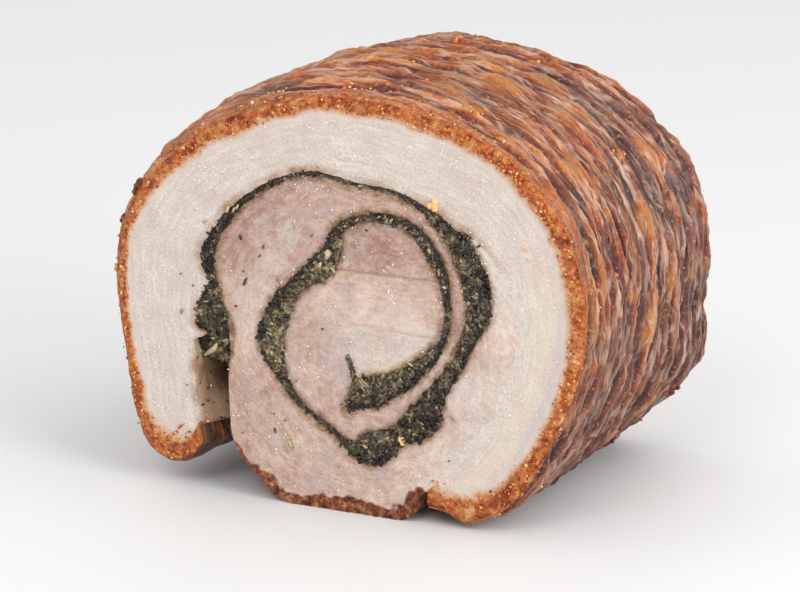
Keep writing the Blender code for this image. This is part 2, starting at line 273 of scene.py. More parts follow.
def distance_to(curve, points):
    """Distance of each point to a dense curve, with the index of the nearest curve point."""
    best = np.full(len(points), 1e9)
    index = np.zeros(len(points), int)
    for start in range(0, len(points), 4000):
        block = points[start:start + 4000]
        gaps = np.hypot(block[:, None, 0] - curve[None, :, 0], block[:, None, 1] - curve[None, :, 1])
        index[start:start + 4000] = gaps.argmin(axis=1)
        best[start:start + 4000] = gaps.min(axis=1)
    return best, index


def inside(outline, points):
    """True for the points inside a closed outline."""
    result = np.zeros(len(points), bool)
    following = np.roll(outline, -1, axis=0)
    x, z = points[:, 0], points[:, 1]
    for (x0, z0), (x1, z1) in zip(outline, following):
        if z0 == z1:
            continue
        crosses = (z0 > z) != (z1 > z)
        result ^= crosses & (x < (x1 - x0) * (z - z0) / (z1 - z0) + x0)
    return result


def deselect_all():
    for thing in bpy.context.selected_objects:
        thing.select_set(False)


def take_active(name):
    """Names the object that an operator has just added, and its mesh."""
    piece = bpy.context.object
    piece.name = name
    piece.data.name = name
    return piece


def new_grid(name, columns, rows):
    """A flat grid one metre wide, to be shaped by moving its vertices."""
    deselect_all()
    bpy.ops.mesh.primitive_grid_add(x_subdivisions=columns, y_subdivisions=rows, size=1.0)
    return take_active(name)


def set_places(piece, places):
    """Moves all of a piece's vertices."""
    piece.data.vertices.foreach_set("co", np.ascontiguousarray(places, np.float32).ravel())
    piece.data.update()


def get_places(piece):
    places = np.zeros(len(piece.data.vertices) * 3, np.float32)
    piece.data.vertices.foreach_get("co", places)
    return places.reshape(-1, 3).astype(float)


def note(piece, name, values):
    """Stores one number for each vertex, for the piece's material to read."""
    attribute = piece.data.attributes.new(name, "FLOAT", "POINT")
    attribute.data.foreach_set("value", np.ascontiguousarray(values, np.float32).ravel())


def note_way(piece, name, vectors):
    """Stores a place for each vertex in a pattern that follows the piece."""
    attribute = piece.data.attributes.new(name, "FLOAT_VECTOR", "POINT")
    attribute.data.foreach_set("vector", np.ascontiguousarray(vectors, np.float32).ravel())


def in_frame(x, behind, z):
    """Section millimetres to metres in the frame."""
    return np.stack([(x + SHIFT_X) * MM, FRONT_Y + behind * MM, z * MM], axis=-1)


def linear(code):
    """An sRGB hex colour as linear numbers."""
    parts = [int(code[i:i + 2], 16) / 255 for i in (1, 3, 5)]
    return tuple(c / 12.92 if c <= 0.04045 else ((c + 0.055) / 1.055) ** 2.4 for c in parts) + (1.0,)


def feed(tree, socket, value):
    """Gives a socket a link, a hex colour or a plain value."""
    if isinstance(value, bpy.types.NodeSocket):
        tree.links.new(value, socket)
    else:
        socket.default_value = linear(value) if isinstance(value, str) else value


def add(tree, kind, feeds=None, stops=None, **settings):
    """Adds a shader node with its settings; feeds gives its inputs values or links."""
    made = tree.nodes.new("ShaderNode" + kind)
    for key, value in settings.items():
        setattr(made, key, value)
    for key, value in (feeds or {}).items():
        feed(tree, made.inputs[key], value)
    if stops:
        ramp = made.color_ramp
        while len(ramp.elements) < len(stops):
            ramp.elements.new(0.5)
        for element, (position, colour) in zip(ramp.elements, stops):
            element.position = position
            element.color = linear(colour)
    return made


def new_material(name):
    """An empty material and its node tree."""
    material = bpy.data.materials.new(name)
    material.use_nodes = True
    return material, material.node_tree


def mixed(tree, share, first, second):
    """Colour between two hex colours or links, by a share from 0 to 1."""
    return add(tree, "Mix", {0: share, 6: first, 7: second}, data_type="RGBA").outputs[2]


def shaded(tree, level, stops):
    """Colours along a ramp, by a level from 0 to 1."""
    return add(tree, "ValToRGB", {"Fac": level}, stops).outputs[0]


def noted(tree, name, kind="Fac"):
    """What note or note_way has stored on the piece."""
    return add(tree, "Attribute", attribute_name=name).outputs[kind]


def grain(tree, way, sizes, detail=3.0, roughness=0.5):
    """Noise on a place in millimetres, with bumps of a given size, or one for each direction."""
    scale = tuple(1 / np.broadcast_to(sizes, 3))
    stretched = add(tree, "Mapping", {"Vector": way, "Scale": scale}).outputs[0]
    return add(tree, "TexNoise", {"Vector": stretched, "Scale": 1.0, "Detail": detail,
                                  "Roughness": roughness}).outputs["Fac"]


def summed(tree, value, factor, offset):
    """value x factor + offset, where each may be a link."""
    return add(tree, "Math", {0: value, 1: factor, 2: offset}, operation="MULTIPLY_ADD").outputs[0]


def ranged(tree, value, low, high, at_low=0.0, at_high=1.0):
    """A value mapped from one range to another, and held inside it."""
    return add(tree, "MapRange", {0: value, 1: low, 2: high, 3: at_low, 4: at_high}).outputs[0]


def bumped(tree, *layers):
    """Fine relief, one layer on another: (height, depth in millimetres, strength)."""
    feeds = {}
    for height, depth, strength in layers:
        feeds.update({"Height": height, "Distance": depth * MM, "Strength": strength})
        feeds["Normal"] = add(tree, "Bump", feeds).outputs[0]
    return feeds["Normal"]


def in_millimetres(tree):
    """The piece's own place, in millimetres."""
    place = add(tree, "TexCoord").outputs["Object"]
    return add(tree, "VectorMath", {0: place, 3: 1 / MM}, operation="SCALE").outputs[0]


def set_shader(tree, **settings):
    """Sets plain values and links on the shader's own sockets."""
    for name, value in settings.items():
        feed(tree, tree.nodes["Principled BSDF"].inputs[name.replace("_", " ")], value)


FRIED = [(0.0, "#551b0e"), (0.22, "#963d1b"), (0.44, "#cb6a2d"), (0.68, "#e29c56"), (0.95, "#f5d09c")]


def crackling_material():
    """Roast pork rind: glassy crisp skin, amber on the folds, dark maroon in the furrows with painted shade,
    painted highlight on the crests.
    """
    material, tree = new_material("crackling")
    way = noted(tree, "way", "Vector")
    mottle = grain(tree, way, (2.3, 1.5, 1.0), 6.0, 0.75)
    strand = grain(tree, way, (30.0, 4.2, 1.0), 2.0, 0.5)
    net = grain(tree, way, (34.0, 3.0, 1.0), 1.0, 0.45)
    off_line = add(tree, "Math", {0: summed(tree, net, 1.0, -0.5)}, operation="ABSOLUTE").outputs[0]
    # Colour follows the relief: painted shade low in the folds, painted highlight near the net's crest
    # lines.
    level = summed(tree, noted(tree, "fold"), 0.4, ranged(tree, off_line, 0.0, 0.12, -0.19, -0.51))
    level = summed(tree, mottle, 1.3, level)
    deep = shaded(tree, level, [(0.0, "#1b0604"), (0.25, "#44120a"), (0.5, "#7c2a18"), (0.75, "#aa512e"),
                                (1.0, "#d59a6e")])
    bright = shaded(tree, level, [(0.0, "#46120a"), (0.25, "#90340f"), (0.5, "#c9611e"), (0.75, "#e0903f"),
                                  (1.0, "#f4cb8c")])
    # Painted sheen: lilac-grey, a painted reflection of the white surround on the right side.
    painted_sheen = shaded(tree, level, [(0.0, "#2a0e0c"), (0.3, "#5f2a22"), (0.6, "#8d574b"), (1.0, "#c09b90")])
    tone = summed(tree, strand, 2.6, summed(tree, noted(tree, "tone"), 1.0, -0.8))
    colour = mixed(tree, ranged(tree, tone, 0.0, 1.0), deep, bright)
    colour = mixed(tree, noted(tree, "painted_sheen"), colour, painted_sheen)
    amber = shaded(tree, mottle, [(0.25, "#9a4713"), (0.45, "#c2701f"), (0.6, "#d68b35"), (0.8, "#ecbb70")])
    colour = mixed(tree, noted(tree, "amber"), colour, amber)
    # Pale lines on the crests and along the net: partly dried edges, partly painted highlight.
    colour = mixed(tree, noted(tree, "crest"), colour, "#e4bda2")
    colour = mixed(tree, ranged(tree, off_line, 0.004, 0.022, 0.72, 0.0), colour, "#dcb5a2")
    specks = ranged(tree, grain(tree, way, (1.2, 0.9, 1.0), 2.0, 0.6), 0.58, 0.68, 0.0, 0.6)
    colour = mixed(tree, specks, colour, "#dda066")
    # Painted shade: near black in the furrows.
    colour = mixed(tree, noted(tree, "furrow"), colour, "#2c0d08")
    crumbs = grain(tree, way, (1.6, 0.8, 1.0), 5.0, 0.75)
    crumbly = shaded(tree, summed(tree, crumbs, 2.2, -0.6), FRIED)
    colour = mixed(tree, noted(tree, "rim"), colour, crumbly)
    # Near black on the low parts of both flaps.
    colour = mixed(tree, noted(tree, "dark_low"), colour, "#231714")
    wrinkle = grain(tree, way, (3.4, 1.2, 1.0), 5.0, 0.65)
    ridge = ranged(tree, off_line, 0.0, 0.1, 1.0, 0.0)
    relief = bumped(tree, (wrinkle, 0.9, 1.0), (ridge, 1.4, 1.0), (mottle, 0.9, 1.0), (crumbs, 0.5, 1.0))
    set_shader(tree, Base_Color=colour, Roughness=ranged(tree, mottle, 0.3, 0.7, 0.24, 0.5), Normal=relief,
               IOR=1.47, Coat_Weight=0.35, Coat_Roughness=0.12, Subsurface_Weight=0.04,
               Subsurface_Radius=(1.0, 0.35, 0.1), Subsurface_Scale=1.5 * MM)
    return material


def fat_material():
    """Cooked back fat, cut: white and waxy, browning to orange crust at the rind."""
    material, tree = new_material("roast_fat")
    place = in_millimetres(tree)
    layers = noted(tree, "layers", "Vector")
    soft = grain(tree, place, 11.0, 4.0)
    fine = grain(tree, place, 0.9, 4.0, 0.7)
    streaks = grain(tree, layers, (14.0, 1.5, 9.0), 5.0, 0.6)
    level = summed(tree, fine, 0.8, summed(tree, streaks, 0.55, -0.18))
    white = shaded(tree, level, [(0.28, "#bcada0"), (0.42, "#d0c2b7"), (0.54, "#dccfc5"), (0.72, "#ece5de")])
    colour = mixed(tree, ranged(tree, soft, 0.42, 0.7, 0.0, 0.5), white, linear("#c8b4a9"))
    colour = mixed(tree, noted(tree, "cream"), colour, "#dccdb8")
    colour = mixed(tree, noted(tree, "lilac"), colour, "#c3b3b2")
    crumbs = grain(tree, place, 1.6, 5.0, 0.76)
    patches = grain(tree, place, 5.0, 3.0, 0.6)
    crumbly = shaded(tree, summed(tree, crumbs, 1.6, summed(tree, patches, 1.6, -1.16)), FRIED)
    reach = summed(tree, soft, 0.7, summed(tree, noted(tree, "rind_share"), 1.0, -0.7))
    reach = summed(tree, crumbs, 0.7, reach)
    gel = shaded(tree, ranged(tree, reach, 0.7, 1.5),
                 [(0.0, "#c57c3d"), (0.22, "#cf9a68"), (0.5, "#cfaf98"), (0.8, "#d8c6ba")])
    edge = mixed(tree, ranged(tree, reach, 0.72, 1.0), crumbly, gel)
    colour = mixed(tree, ranged(tree, reach, 1.15, 1.8), edge, colour)
    ruby = shaded(tree, crumbs, [(0.3, "#5c1208"), (0.6, "#a33a12")])
    colour = mixed(tree, noted(tree, "ruby"), colour, ruby)
    burnt = ranged(tree, soft, 0.35, 0.65, 0.45, 1.0)
    brown = shaded(tree, fine, [(0.3, "#6d4830"), (0.5, "#9a7048"), (0.7, "#c29a68")])
    colour = mixed(tree, summed(tree, noted(tree, "browned"), burnt, 0.0), colour, brown)
    # The slot's inner wall: tan-brown, made paler as painted light in the deep slot.
    wall = shaded(tree, soft, [(0.3, "#957052"), (0.5, "#c7a280"), (0.7, "#e0c4a2")])
    colour = mixed(tree, noted(tree, "in_slot"), colour, wall)
    wet = ranged(tree, soft, 0.35, 0.65, 0.42, 0.24)
    roughness = summed(tree, noted(tree, "in_slot"), 0.55, wet)
    in_rind = ranged(tree, reach, 0.72, 1.0, 1.0, 0.0)
    relief = bumped(tree, (streaks, 0.9, 0.35), (fine, 0.8, 0.7), (crumbs, 1.6, in_rind))
    set_shader(tree, Base_Color=colour, Roughness=roughness, Normal=relief, IOR=1.45,
               Subsurface_Weight=0.1, Subsurface_Radius=(1.0, 0.55, 0.35), Subsurface_Scale=2.5 * MM)
    return material


def lean_material():
    """Roast lean pork, cut across the roll: pinkish beige fibres, pale layers and browned edges."""
    material, tree = new_material("roast_lean")
    place = in_millimetres(tree)
    fibres = noted(tree, "fibres", "Vector")
    soft = grain(tree, place, 13.0, 5.0, 0.6)
    fine = grain(tree, place, 0.8, 4.0, 0.75)
    threads = grain(tree, fibres, (6.0, 6.0, 1.3), 4.0, 0.6)
    patches = grain(tree, place, 4.0, 3.0, 0.6)
    tone = summed(tree, patches, 1.3, summed(tree, noted(tree, "pale"), 1.0, -1.14))
    tone = summed(tree, soft, 1.1, tone)
    level = summed(tree, fine, 0.7, summed(tree, threads, 0.5, summed(tree, tone, 0.5, -0.42)))
    beige = shaded(tree, level, [(0.0, "#8c6755"), (0.25, "#b08e7c"), (0.45, "#c8ab9b"), (0.65, "#d9c2b4"),
                                 (1.0, "#ece0d7")])
    rosy = shaded(tree, level, [(0.0, "#7d554a"), (0.25, "#a57f71"), (0.45, "#bf9c8d"), (0.65, "#d1b5a7"),
                                (1.0, "#e7d5cb")])
    patchy = summed(tree, soft, 1.6, summed(tree, noted(tree, "pink"), 1.0, -0.8))
    colour = mixed(tree, ranged(tree, patchy, 0.0, 1.0), beige, rosy)
    bruised = grain(tree, place, 7.0, 2.0, 0.5)
    colour = mixed(tree, ranged(tree, bruised, 0.52, 0.7, 0.0, 0.5), colour, "#b9a7a6")
    fatty = shaded(tree, fine, [(0.3, "#beafa4"), (0.5, "#d3c8be"), (0.7, "#e2dad2")])
    colour = mixed(tree, noted(tree, "fatty"), colour, fatty)
    skin = shaded(tree, fine, [(0.3, "#a49a9c"), (0.7, "#cfc8ca")])
    colour = mixed(tree, noted(tree, "silver"), colour, skin)
    colour = mixed(tree, noted(tree, "golden"), colour, "#d6b679")
    colour = mixed(tree, noted(tree, "seam"), colour, "#8f6e62")
    burnt = ranged(tree, patches, 0.35, 0.6, 0.4, 1.0)
    brown = shaded(tree, fine, [(0.3, "#513825"), (0.5, "#86633f"), (0.7, "#bb966a")])
    colour = mixed(tree, summed(tree, noted(tree, "browned"), burnt, 0.0), colour, brown)
    crumbs = grain(tree, place, 1.1, 5.0, 0.75)
    roasted = summed(tree, crumbs, 1.5, summed(tree, patches, 1.6, -1.05))
    crumbly = shaded(tree, roasted, [(0.1, "#2c120d"), (0.3, "#5e2a1f"), (0.5, "#914b33"),
                                     (0.7, "#c27b4c"), (0.9, "#e6b486")])
    crusty = summed(tree, soft, 1.2, summed(tree, noted(tree, "crust"), 1.0, -1.25))
    crusty = summed(tree, crumbs, 1.3, crusty)
    crust = ranged(tree, crusty, 0.25, 0.75)
    colour = mixed(tree, crust, colour, crumbly)
    relief = bumped(tree, (threads, 1.0, 0.45), (fine, 0.8, 0.6), (crumbs, 1.8, crust))
    set_shader(tree, Base_Color=colour, Roughness=ranged(tree, soft, 0.35, 0.65, 0.45, 0.25), Normal=relief,
               IOR=1.42, Subsurface_Weight=0.06, Subsurface_Radius=(1.0, 0.4, 0.25),
               Subsurface_Scale=1.8 * MM)
    return material


def herb_material():
    """Chopped herbs baked to a dark olive paste, moist between the leaves."""
    material, tree = new_material("baked_herbs")
    soft = grain(tree, in_millimetres(tree), 1.4, 4.0, 0.6)
    level = summed(tree, soft, 0.5, summed(tree, noted(tree, "shade"), 1.0, -0.25))
    colour = shaded(tree, level, [(0.0, "#16110d"), (0.25, "#3c3128"), (0.5, "#6d5f4b"), (0.75, "#998a66"),
                                  (1.0, "#cbb98c")])
    set_shader(tree, Base_Color=colour, Normal=bumped(tree, (soft, 0.5, 0.7)), Roughness=0.36, IOR=1.45)
    return material


def crumb_material():
    """Crumbs of crackling: fried brittle skin, gold where thin and dark brown where scorched."""
    material, tree = new_material("crackling_crumbs")
    soft = grain(tree, in_millimetres(tree), 0.9, 3.0, 0.6)
    level = summed(tree, soft, 0.5, summed(tree, noted(tree, "shade"), 1.0, -0.25))
    set_shader(tree, Base_Color=shaded(tree, level, FRIED), Roughness=0.38, IOR=1.45)
    return material


def juice_glint_material():
    """Roasting juices: drops of fat coloured near white as a painted glint, with a sharp shine."""
    material, tree = new_material("juices_painted_glint")
    set_shader(tree, Base_Color="#fbf6f1", Roughness=0.08, IOR=1.5, Coat_Weight=1.0, Coat_Roughness=0.02)
    return material


def bump(around, form):
    """A soft bump round a distance on the girth: (middle, reach, height)."""
    middle, reach, height = form
    return height * near(around, middle, reach)


def rind_swell(around, behind):
    """Swelling and sagging of the rind, and how strong its folds are, as in the solids."""
    to_end = np.minimum(around, GIRTH - around)
    fade = np.clip(to_end / FLAP_FADE, 0.0, 1.0) ** 1.2
    depth = np.clip(behind / LENGTH, 0.0, 1.0)
    swell = bump(around, BULGE) * np.sin(np.pi * depth ** 0.62)
    sag = bump(around, SIDE_SAG) - bump(around, TOP_DROP) - bump(around, SHOULDER_DROP)
    return swell + sag * depth ** SAG_POWER, fade


def slot_lean(x, z, behind):
    """How far the flap's inner wall leans to the right, as in the solids."""
    inwards = np.clip((x - SLOT_SIDE) / (SLOT_WALL[0][0] - SLOT_SIDE), 0.0, 1.0) * (x < 0.0)
    below_top = np.clip((SLOT_TOP - z) / (SLOT_TOP - SLOT_MIDDLE), 0.0, 1.0)
    by_height = near(z, SLOT_MIDDLE, SLOT_SPREAD) * np.sqrt(below_top)
    from_cut = np.clip(np.minimum(behind, LENGTH - behind) / SLOT_DEPTH, 0.0, 1.0)
    return SLOT_LEAN * inwards * by_height * np.sin(np.pi / 2 * from_cut)


def small_beads():
    """Small blisters all over the rind: (distance round, distance behind, radius, height)."""
    chance = np.random.default_rng(5)
    around = chance.uniform(20, GIRTH - 20, BEAD_COUNT)
    behind = chance.uniform(3, LENGTH - 3, BEAD_COUNT)
    radius = chance.uniform(1.3, 3.4, BEAD_COUNT)
    return list(zip(around, behind, radius, radius * chance.uniform(0.25, 0.5, BEAD_COUNT)))


def crackling_relief(around, behind):
    """Relief of the rind in millimetres, with its crests, furrows, blisters and each strand's tone."""
    wander = 0.1 * soft_noise(around / 17, behind / 15, 1) + 0.035 * soft_noise(around / 5, behind / 8, 2)
    drift = 0.42 * np.sin(around / 47 + 0.6) + 0.2 * np.sin(around / 17.3 + 2.0 + behind / 31) + wander
    blend = 0.5 + 0.5 * np.sin(around / 38 + behind / 23 + 1.2) * np.sin(around / 21 - behind / 44)
    main = behind / RIDGE_SPACING + drift
    fine = behind / FINE_SPACING - 0.7 * drift + 0.3 * np.sin(around / 26)
    to_main = np.abs(main - np.round(main)) * 2
    to_fine = np.abs(fine - np.round(fine)) * 2
    folds = MAIN_FOLD * (1 - 0.6 * blend) * ((1 - to_main) ** 1.5 - 0.4)
    folds = folds + FINE_FOLD * blend * ((1 - to_fine) ** 1.4 - 0.42)
    warp = 2.4 * soft_noise(around / 38, behind / 30, 3) + 0.9 * soft_noise(around / 8, behind / 10, 4)
    branches = creases(around / 60 + 3.3, (behind + warp) / 5.8, 5)
    wrinkles = creases(around / 24, (behind + 0.7 * warp) / 2.8, 6)
    lumps = soft_noise(around / 3.0, behind / 2.3, 7)
    bubbles = np.zeros_like(around)
    rise = np.zeros_like(around)
    for place, back, radius, height in BLISTERS + small_beads():
        shape = np.exp(-2.2 * (((around - place) / 1.15) ** 2 + (behind - back) ** 2) / radius ** 2)
        bubbles = np.maximum(bubbles, shape if radius > 5 else 0.6 * shape)
        rise = np.maximum(rise, height * shape)
    calm = (0.5 + 0.5 * step_up(behind, 0.5, 7.0)) * (1 - 0.75 * bubbles)
    height = calm * (folds + BRANCH * (branches - 0.3) + WRINKLE * wrinkles + LUMP * lumps) + rise
    crest = np.maximum(near(to_main, 0.0, 0.1) * (1 - 0.5 * blend), near(to_fine, 0.0, 0.12) * blend)
    crest = np.maximum(crest, 0.9 * step_up(branches, 0.78, 0.98)) * (0.5 + 0.5 * calm)
    crest = crest * step_up(soft_noise(around / 14, behind / 7, 8), -0.35, 0.35)
    furrow = np.maximum(near(to_main, 1.0, 0.16) * (1 - 0.5 * blend), near(to_fine, 1.0, 0.18) * blend)
    furrow = furrow * calm * step_up(soft_noise(around / 17, behind / 9, 19), -0.6, 0.2)
    height = height - FURROW * furrow
    strands = np.round(main) * 5.37 + np.round(fine) * 2.19
    tone = soft_noise(around / 33, strands, 9) + 0.5 * soft_noise(around / 9, strands * 1.7, 10)
    return height, crest, furrow, bubbles, tone


# The grid that is wrapped round the fat: columns round the section, rows on the cuts and the skin
AROUND_COUNT = 388
TIP_COLUMNS = 9
CUT_ROWS = 26
SKIN_ROWS = 190
REAR_ROWS = 12
INNER_STOPS = np.array([3.0, 7.0, 12.0, 18.0, 24.0])
TIP_INSET = 0.45
EDGE_ROUND = 1.1
SHARP_ANGLE = math.radians(62)


def seam_of_fat():
    """Edge of the fat over the herbs, and from there down the seam with the lean."""
    over = ragged_side(1, GAP)
    leaves = nearest(over, FAT_SEAM[0]) - 4
    return over[:leaves], smooth_curve([tuple(over[leaves])] + FAT_SEAM, 1.0)


def fat_inner_edge():
    """Inside of the fat, from the left flap's tip up the slot, over the herbs and down the seam."""
    return np.vstack([smooth_curve(SLOT_WALL, 2.0), *seam_of_fat()])


def fat_columns():
    """Round the section: distance round, the rind's point, its normal and the inner point facing it."""
    turn = np.linspace(0.0, 2 * np.pi, AROUND_COUNT + 1)
    around = GIRTH * (turn - 0.25 * np.sin(turn)) / (2 * np.pi)
    outer = at_lengths(SKIN_LINE, around)
    line = fat_inner_edge()
    lengths = run_lengths(line)
    skin_marks = [0.0] + [run_lengths(SKIN_LINE)[nearest(SKIN_LINE, a)] for a, _ in FACING] + [GIRTH]
    inner_marks = [TIP_INSET] + [lengths[nearest(line, b)] for _, b in FACING] + [lengths[-1] - TIP_INSET]
    inner = at_lengths(line, np.interp(around, skin_marks, inner_marks))
    shares = (np.arange(TIP_COLUMNS) + 0.4) / TIP_COLUMNS
    first = line[0] + shares[:, None] * (outer[0] - line[0])
    last = line[-1] + shares[::-1, None] * (outer[-1] - line[-1])
    around = np.concatenate([-np.linalg.norm(first - outer[0], axis=1), around,
                             GIRTH + np.linalg.norm(last - outer[-1], axis=1)])
    inner = np.vstack([at_lengths(line, shares * TIP_INSET), inner,
                       at_lengths(line, lengths[-1] - shares[::-1] * TIP_INSET)])
    outer = np.vstack([first, outer, last])
    return around, outer, left_normals(outer), inner


def amber_share(around, behind, bubbles, tone):
    """Where the rind is clear amber: on the blisters and in strips along the folds."""
    amber = 1.6 * bubbles ** 1.2 * (0.85 + 0.4 * tone)
    for place, back, length, width in AMBER_STRIPS:
        amber = np.maximum(amber, near(around, place, length) * near(behind, back, width))
    return np.clip(amber, 0, 0.92)


def painted_sheen_share(share, behind, tone):
    """Where a lilac-grey sheen is painted on the rind, a painted reflection: on the right side, away from
    the cut.
    """
    high = near(share, 0.74, 0.16) * step_up(behind, 30.0, 70.0)
    low = near(share, 0.88, 0.1) * step_up(behind, 8.0, 26.0)
    return np.clip(np.maximum(high, low) * (0.82 - 1.3 * tone), 0, 0.85)


def note_rind(piece, around, behind, tone, patch_noise):
    """Tone of the rind, with painted light and shade, its painted lilac-grey sheen, its crumbly rim and its
    darker low parts.
    """
    share = around / GIRTH
    # Painted light and shade: the top of the roll a lighter tone, the low right side a darker one; near the
    # cut the rind is lighter, being more fried.
    painted_light_and_cut_edge = 0.3 * near(share, 0.45, 0.16) - 0.45 * near(share, 0.87, 0.12) + 0.5 * step_up(behind, 20.0, 2.0)
    note(piece, "tone", painted_light_and_cut_edge + 0.55 * tone - 0.1)
    note(piece, "painted_sheen", painted_sheen_share(share, behind, tone))
    wave = 3.0 * line_noise(around / 9, 15) + 1.5 * line_noise(around / 3, 16)
    rim = 0.75 * step_up(behind + wave, 4.5, 0.5) + 0.75 * step_up(LENGTH - behind, 1.8, 0.3)
    note(piece, "rim", rim)
    # The low ends of both flaps are darker.
    low_ends = step_up(around, 396.0, 440.0) * step_up(behind, 6.0, 30.0) + step_up(around, 36.0, 6.0)
    note(piece, "dark_low", np.clip(0.7 * low_ends + 0.6 * patch_noise * low_ends, 0, 0.85))


def note_fat(piece, around, below, to_inner, patch_noise):
    """The fat's browned inner edge, its creamy and lilac layers and its dark red spot."""
    browned = np.clip(step_up(to_inner, 3.2, 0.8) * (0.8 + 1.0 * patch_noise), 0, 1)
    note(piece, "browned", browned * step_up(around, 320.0, 290.0))
    on_right = step_up(around, 290.0, 350.0)
    creamy = near(below, 15.0 + 1.5 * line_noise(around / 22, 18), 3.6) * on_right
    note(piece, "cream", np.clip(0.6 * creamy, 0, 1))
    note(piece, "lilac", 0.55 * on_right * near(below, 8.5, 2.2))
    note(piece, "ruby", 0.85 * near(around, 420.0, 9.0) * near(below, 4.6, 2.2))


def make_crackling_and_fat():
    """One closed C of fat with its rind: a grid wrapped round the section and along the roll."""
    around_line, outer, outward, inner = fat_columns()
    inner_rows = np.concatenate([LENGTH - INNER_STOPS, [LENGTH / 2], INNER_STOPS[::-1], [0.0]])
    steps = np.arange(CUT_ROWS) / CUT_ROWS
    behind_rows = np.concatenate([np.zeros(CUT_ROWS), np.linspace(0.0, LENGTH, SKIN_ROWS + 1),
                                  np.full(REAR_ROWS, LENGTH), inner_rows])
    depth_rows = np.concatenate([(1 - steps) ** 1.6, np.zeros(SKIN_ROWS + 1),
                                 (np.arange(1, REAR_ROWS + 1) / REAR_ROWS) ** 1.6, np.ones(len(inner_rows))])
    ring = len(behind_rows) - 1
    piece = new_grid("crackling_and_fat", ring, len(around_line) - 1)
    around, behind = np.meshgrid(around_line, behind_rows, indexing="ij")
    depth = np.broadcast_to(depth_rows, around.shape)
    swell, fade = rind_swell(around, behind)
    relief, crest, furrow, bubbles, tone = crackling_relief(around, behind)
    from_cut = np.minimum(behind, LENGTH - behind)
    rounding = EDGE_ROUND * 0.6 * np.clip(1 - from_cut / EDGE_ROUND, 0, 1) ** 2
    stand = fade * (swell + relief) - rounding
    skin = outer[:, None, :] + outward[:, None, :] * stand[:, :, None]
    places = skin + (inner[:, None, :] - skin) * depth[:, :, None]
    thickness = np.linalg.norm(inner[:, None, :] - skin, axis=2)
    below = thickness * depth
    rind = np.interp(around_line, *np.array(RIND_THICKNESS, float).T)[:, None]
    rind_share = below / (rind * (1 + 0.22 * line_noise(around / 13, 11)
                                  + 0.12 * line_noise(around / 4, 12)))
    x, z = places[:, :, 0], places[:, :, 1]
    on_cut = (depth > 0) & (depth < 1)
    in_rind = step_up(rind_share, 1.15, 0.75)
    lumpy = 0.5 * rough_noise(x / 1.7, z / 1.7, 13)
    waxy = 0.25 * rough_noise(x / 6, z / 6, 14) * step_up(thickness - below, 0.0, 5.0)
    proud = on_cut * (in_rind * (0.3 + lumpy) + (1 - in_rind) * waxy) * step_up(below, 0.0, 0.6)
    outwards = np.where(behind < LENGTH / 2, -1.0, 1.0)
    behind_moved = behind + outwards * (proud - rounding * step_up(below, 1.6, 0.0))
    set_places(piece, in_frame(x + slot_lean(x, z, behind), behind_moved, z).reshape(-1, 3))
    # These notes also colour the rind: painted shade low in the folds and in the furrows, painted highlight
    # on the crests.
    note(piece, "fold", np.clip(relief / 2.0, -1, 1))
    note(piece, "crest", 0.8 * crest * fade)
    note(piece, "furrow", 0.65 * furrow * fade)
    note(piece, "amber", amber_share(around, behind, bubbles, tone))
    patch_noise = rough_noise(around / 12, behind / 9, 17)
    note_rind(piece, around, behind, tone, patch_noise)
    note(piece, "rind_share", rind_share)
    note_fat(piece, around, below, thickness - below, patch_noise)
    in_slot = step_up(depth, 0.97, 1.0) * step_up(from_cut, 0.3, 1.5) * step_up(x, -40.0, -50.0)
    note(piece, "in_slot", in_slot)
    note_way(piece, "way", np.stack([around, behind, 0 * behind], axis=2))
    note_way(piece, "layers", np.stack([around, below, behind], axis=2))
    close_wrapped_grid(piece, ring)
    piece.data.materials.append(crackling_material())
    piece.data.materials.append(fat_material())
    shade_cut_and_skin(piece)
    return piece


def ragged_side(side, clearance):
    """One side of the stuffing with its uneven torn edge, +1 outwards or -1 towards the core."""
    along = run_lengths(HERBS_FINE)
    uneven = 0.8 * line_noise(along / 7.5, 40 + side) + 0.6 * line_noise(along / 2.6, 44 + side)
    uneven = uneven + 0.3 * line_noise(along / 1.1, 48 + side)
    half = HERBS_FINE[:, 2] / 2
    middle = half * np.clip(0.42 + 0.27 * half, 0.0, 0.94)
    noses = (3.4 * near(along, 9.5, 1.8) + 1.5 * near(along, 28.5, 2.6)) * (side > 0)
    reach = np.maximum(middle + uneven * np.minimum(1.3, 0.55 * half) - noses, 0.25) + clearance
    return HERBS_FINE[:, :2] + left_normals(HERBS_FINE) * side * reach[:, None]


def close_wrapped_grid(piece, ring):
    """Joins a wrapped grid's first and last rows and fills its two ends."""
    shape = bmesh.new()
    shape.from_mesh(piece.data)
    shape.verts.ensure_lookup_table()
    total = ring + 1
    rows = len(shape.verts) // total
    welds = {shape.verts[i * total + ring]: shape.verts[i * total] for i in range(rows)}
    bmesh.ops.weld_verts(shape, targetmap=welds)
    open_edges = [edge for edge in shape.edges if edge.is_boundary]
    bmesh.ops.holes_fill(shape, edges=open_edges, sides=0)
    bmesh.ops.recalc_face_normals(shape, faces=shape.faces)
    shape.to_mesh(piece.data)
    shape.free()


def shade_cut_and_skin(piece):
    """Gives the cut ends and the inner wall the second material, and shades all but sharp edges smooth."""
    mesh = piece.data
    share = np.zeros(len(mesh.vertices), np.float32)
    mesh.attributes["rind_share"].data.foreach_get("value", share)
    for face in mesh.polygons:
        face.material_index = 1 if max(share[v] for v in face.vertices) > 1e-6 else 0
    mesh.shade_smooth()
    mesh.set_sharp_from_angle(angle=SHARP_ANGLE)


# The lean's grid: its cells, the cuts along its underside, and its reach past the fat's seam
CELL = 0.55
RIM_CUTS = 50
SEAM_OVERLAP = 0.25


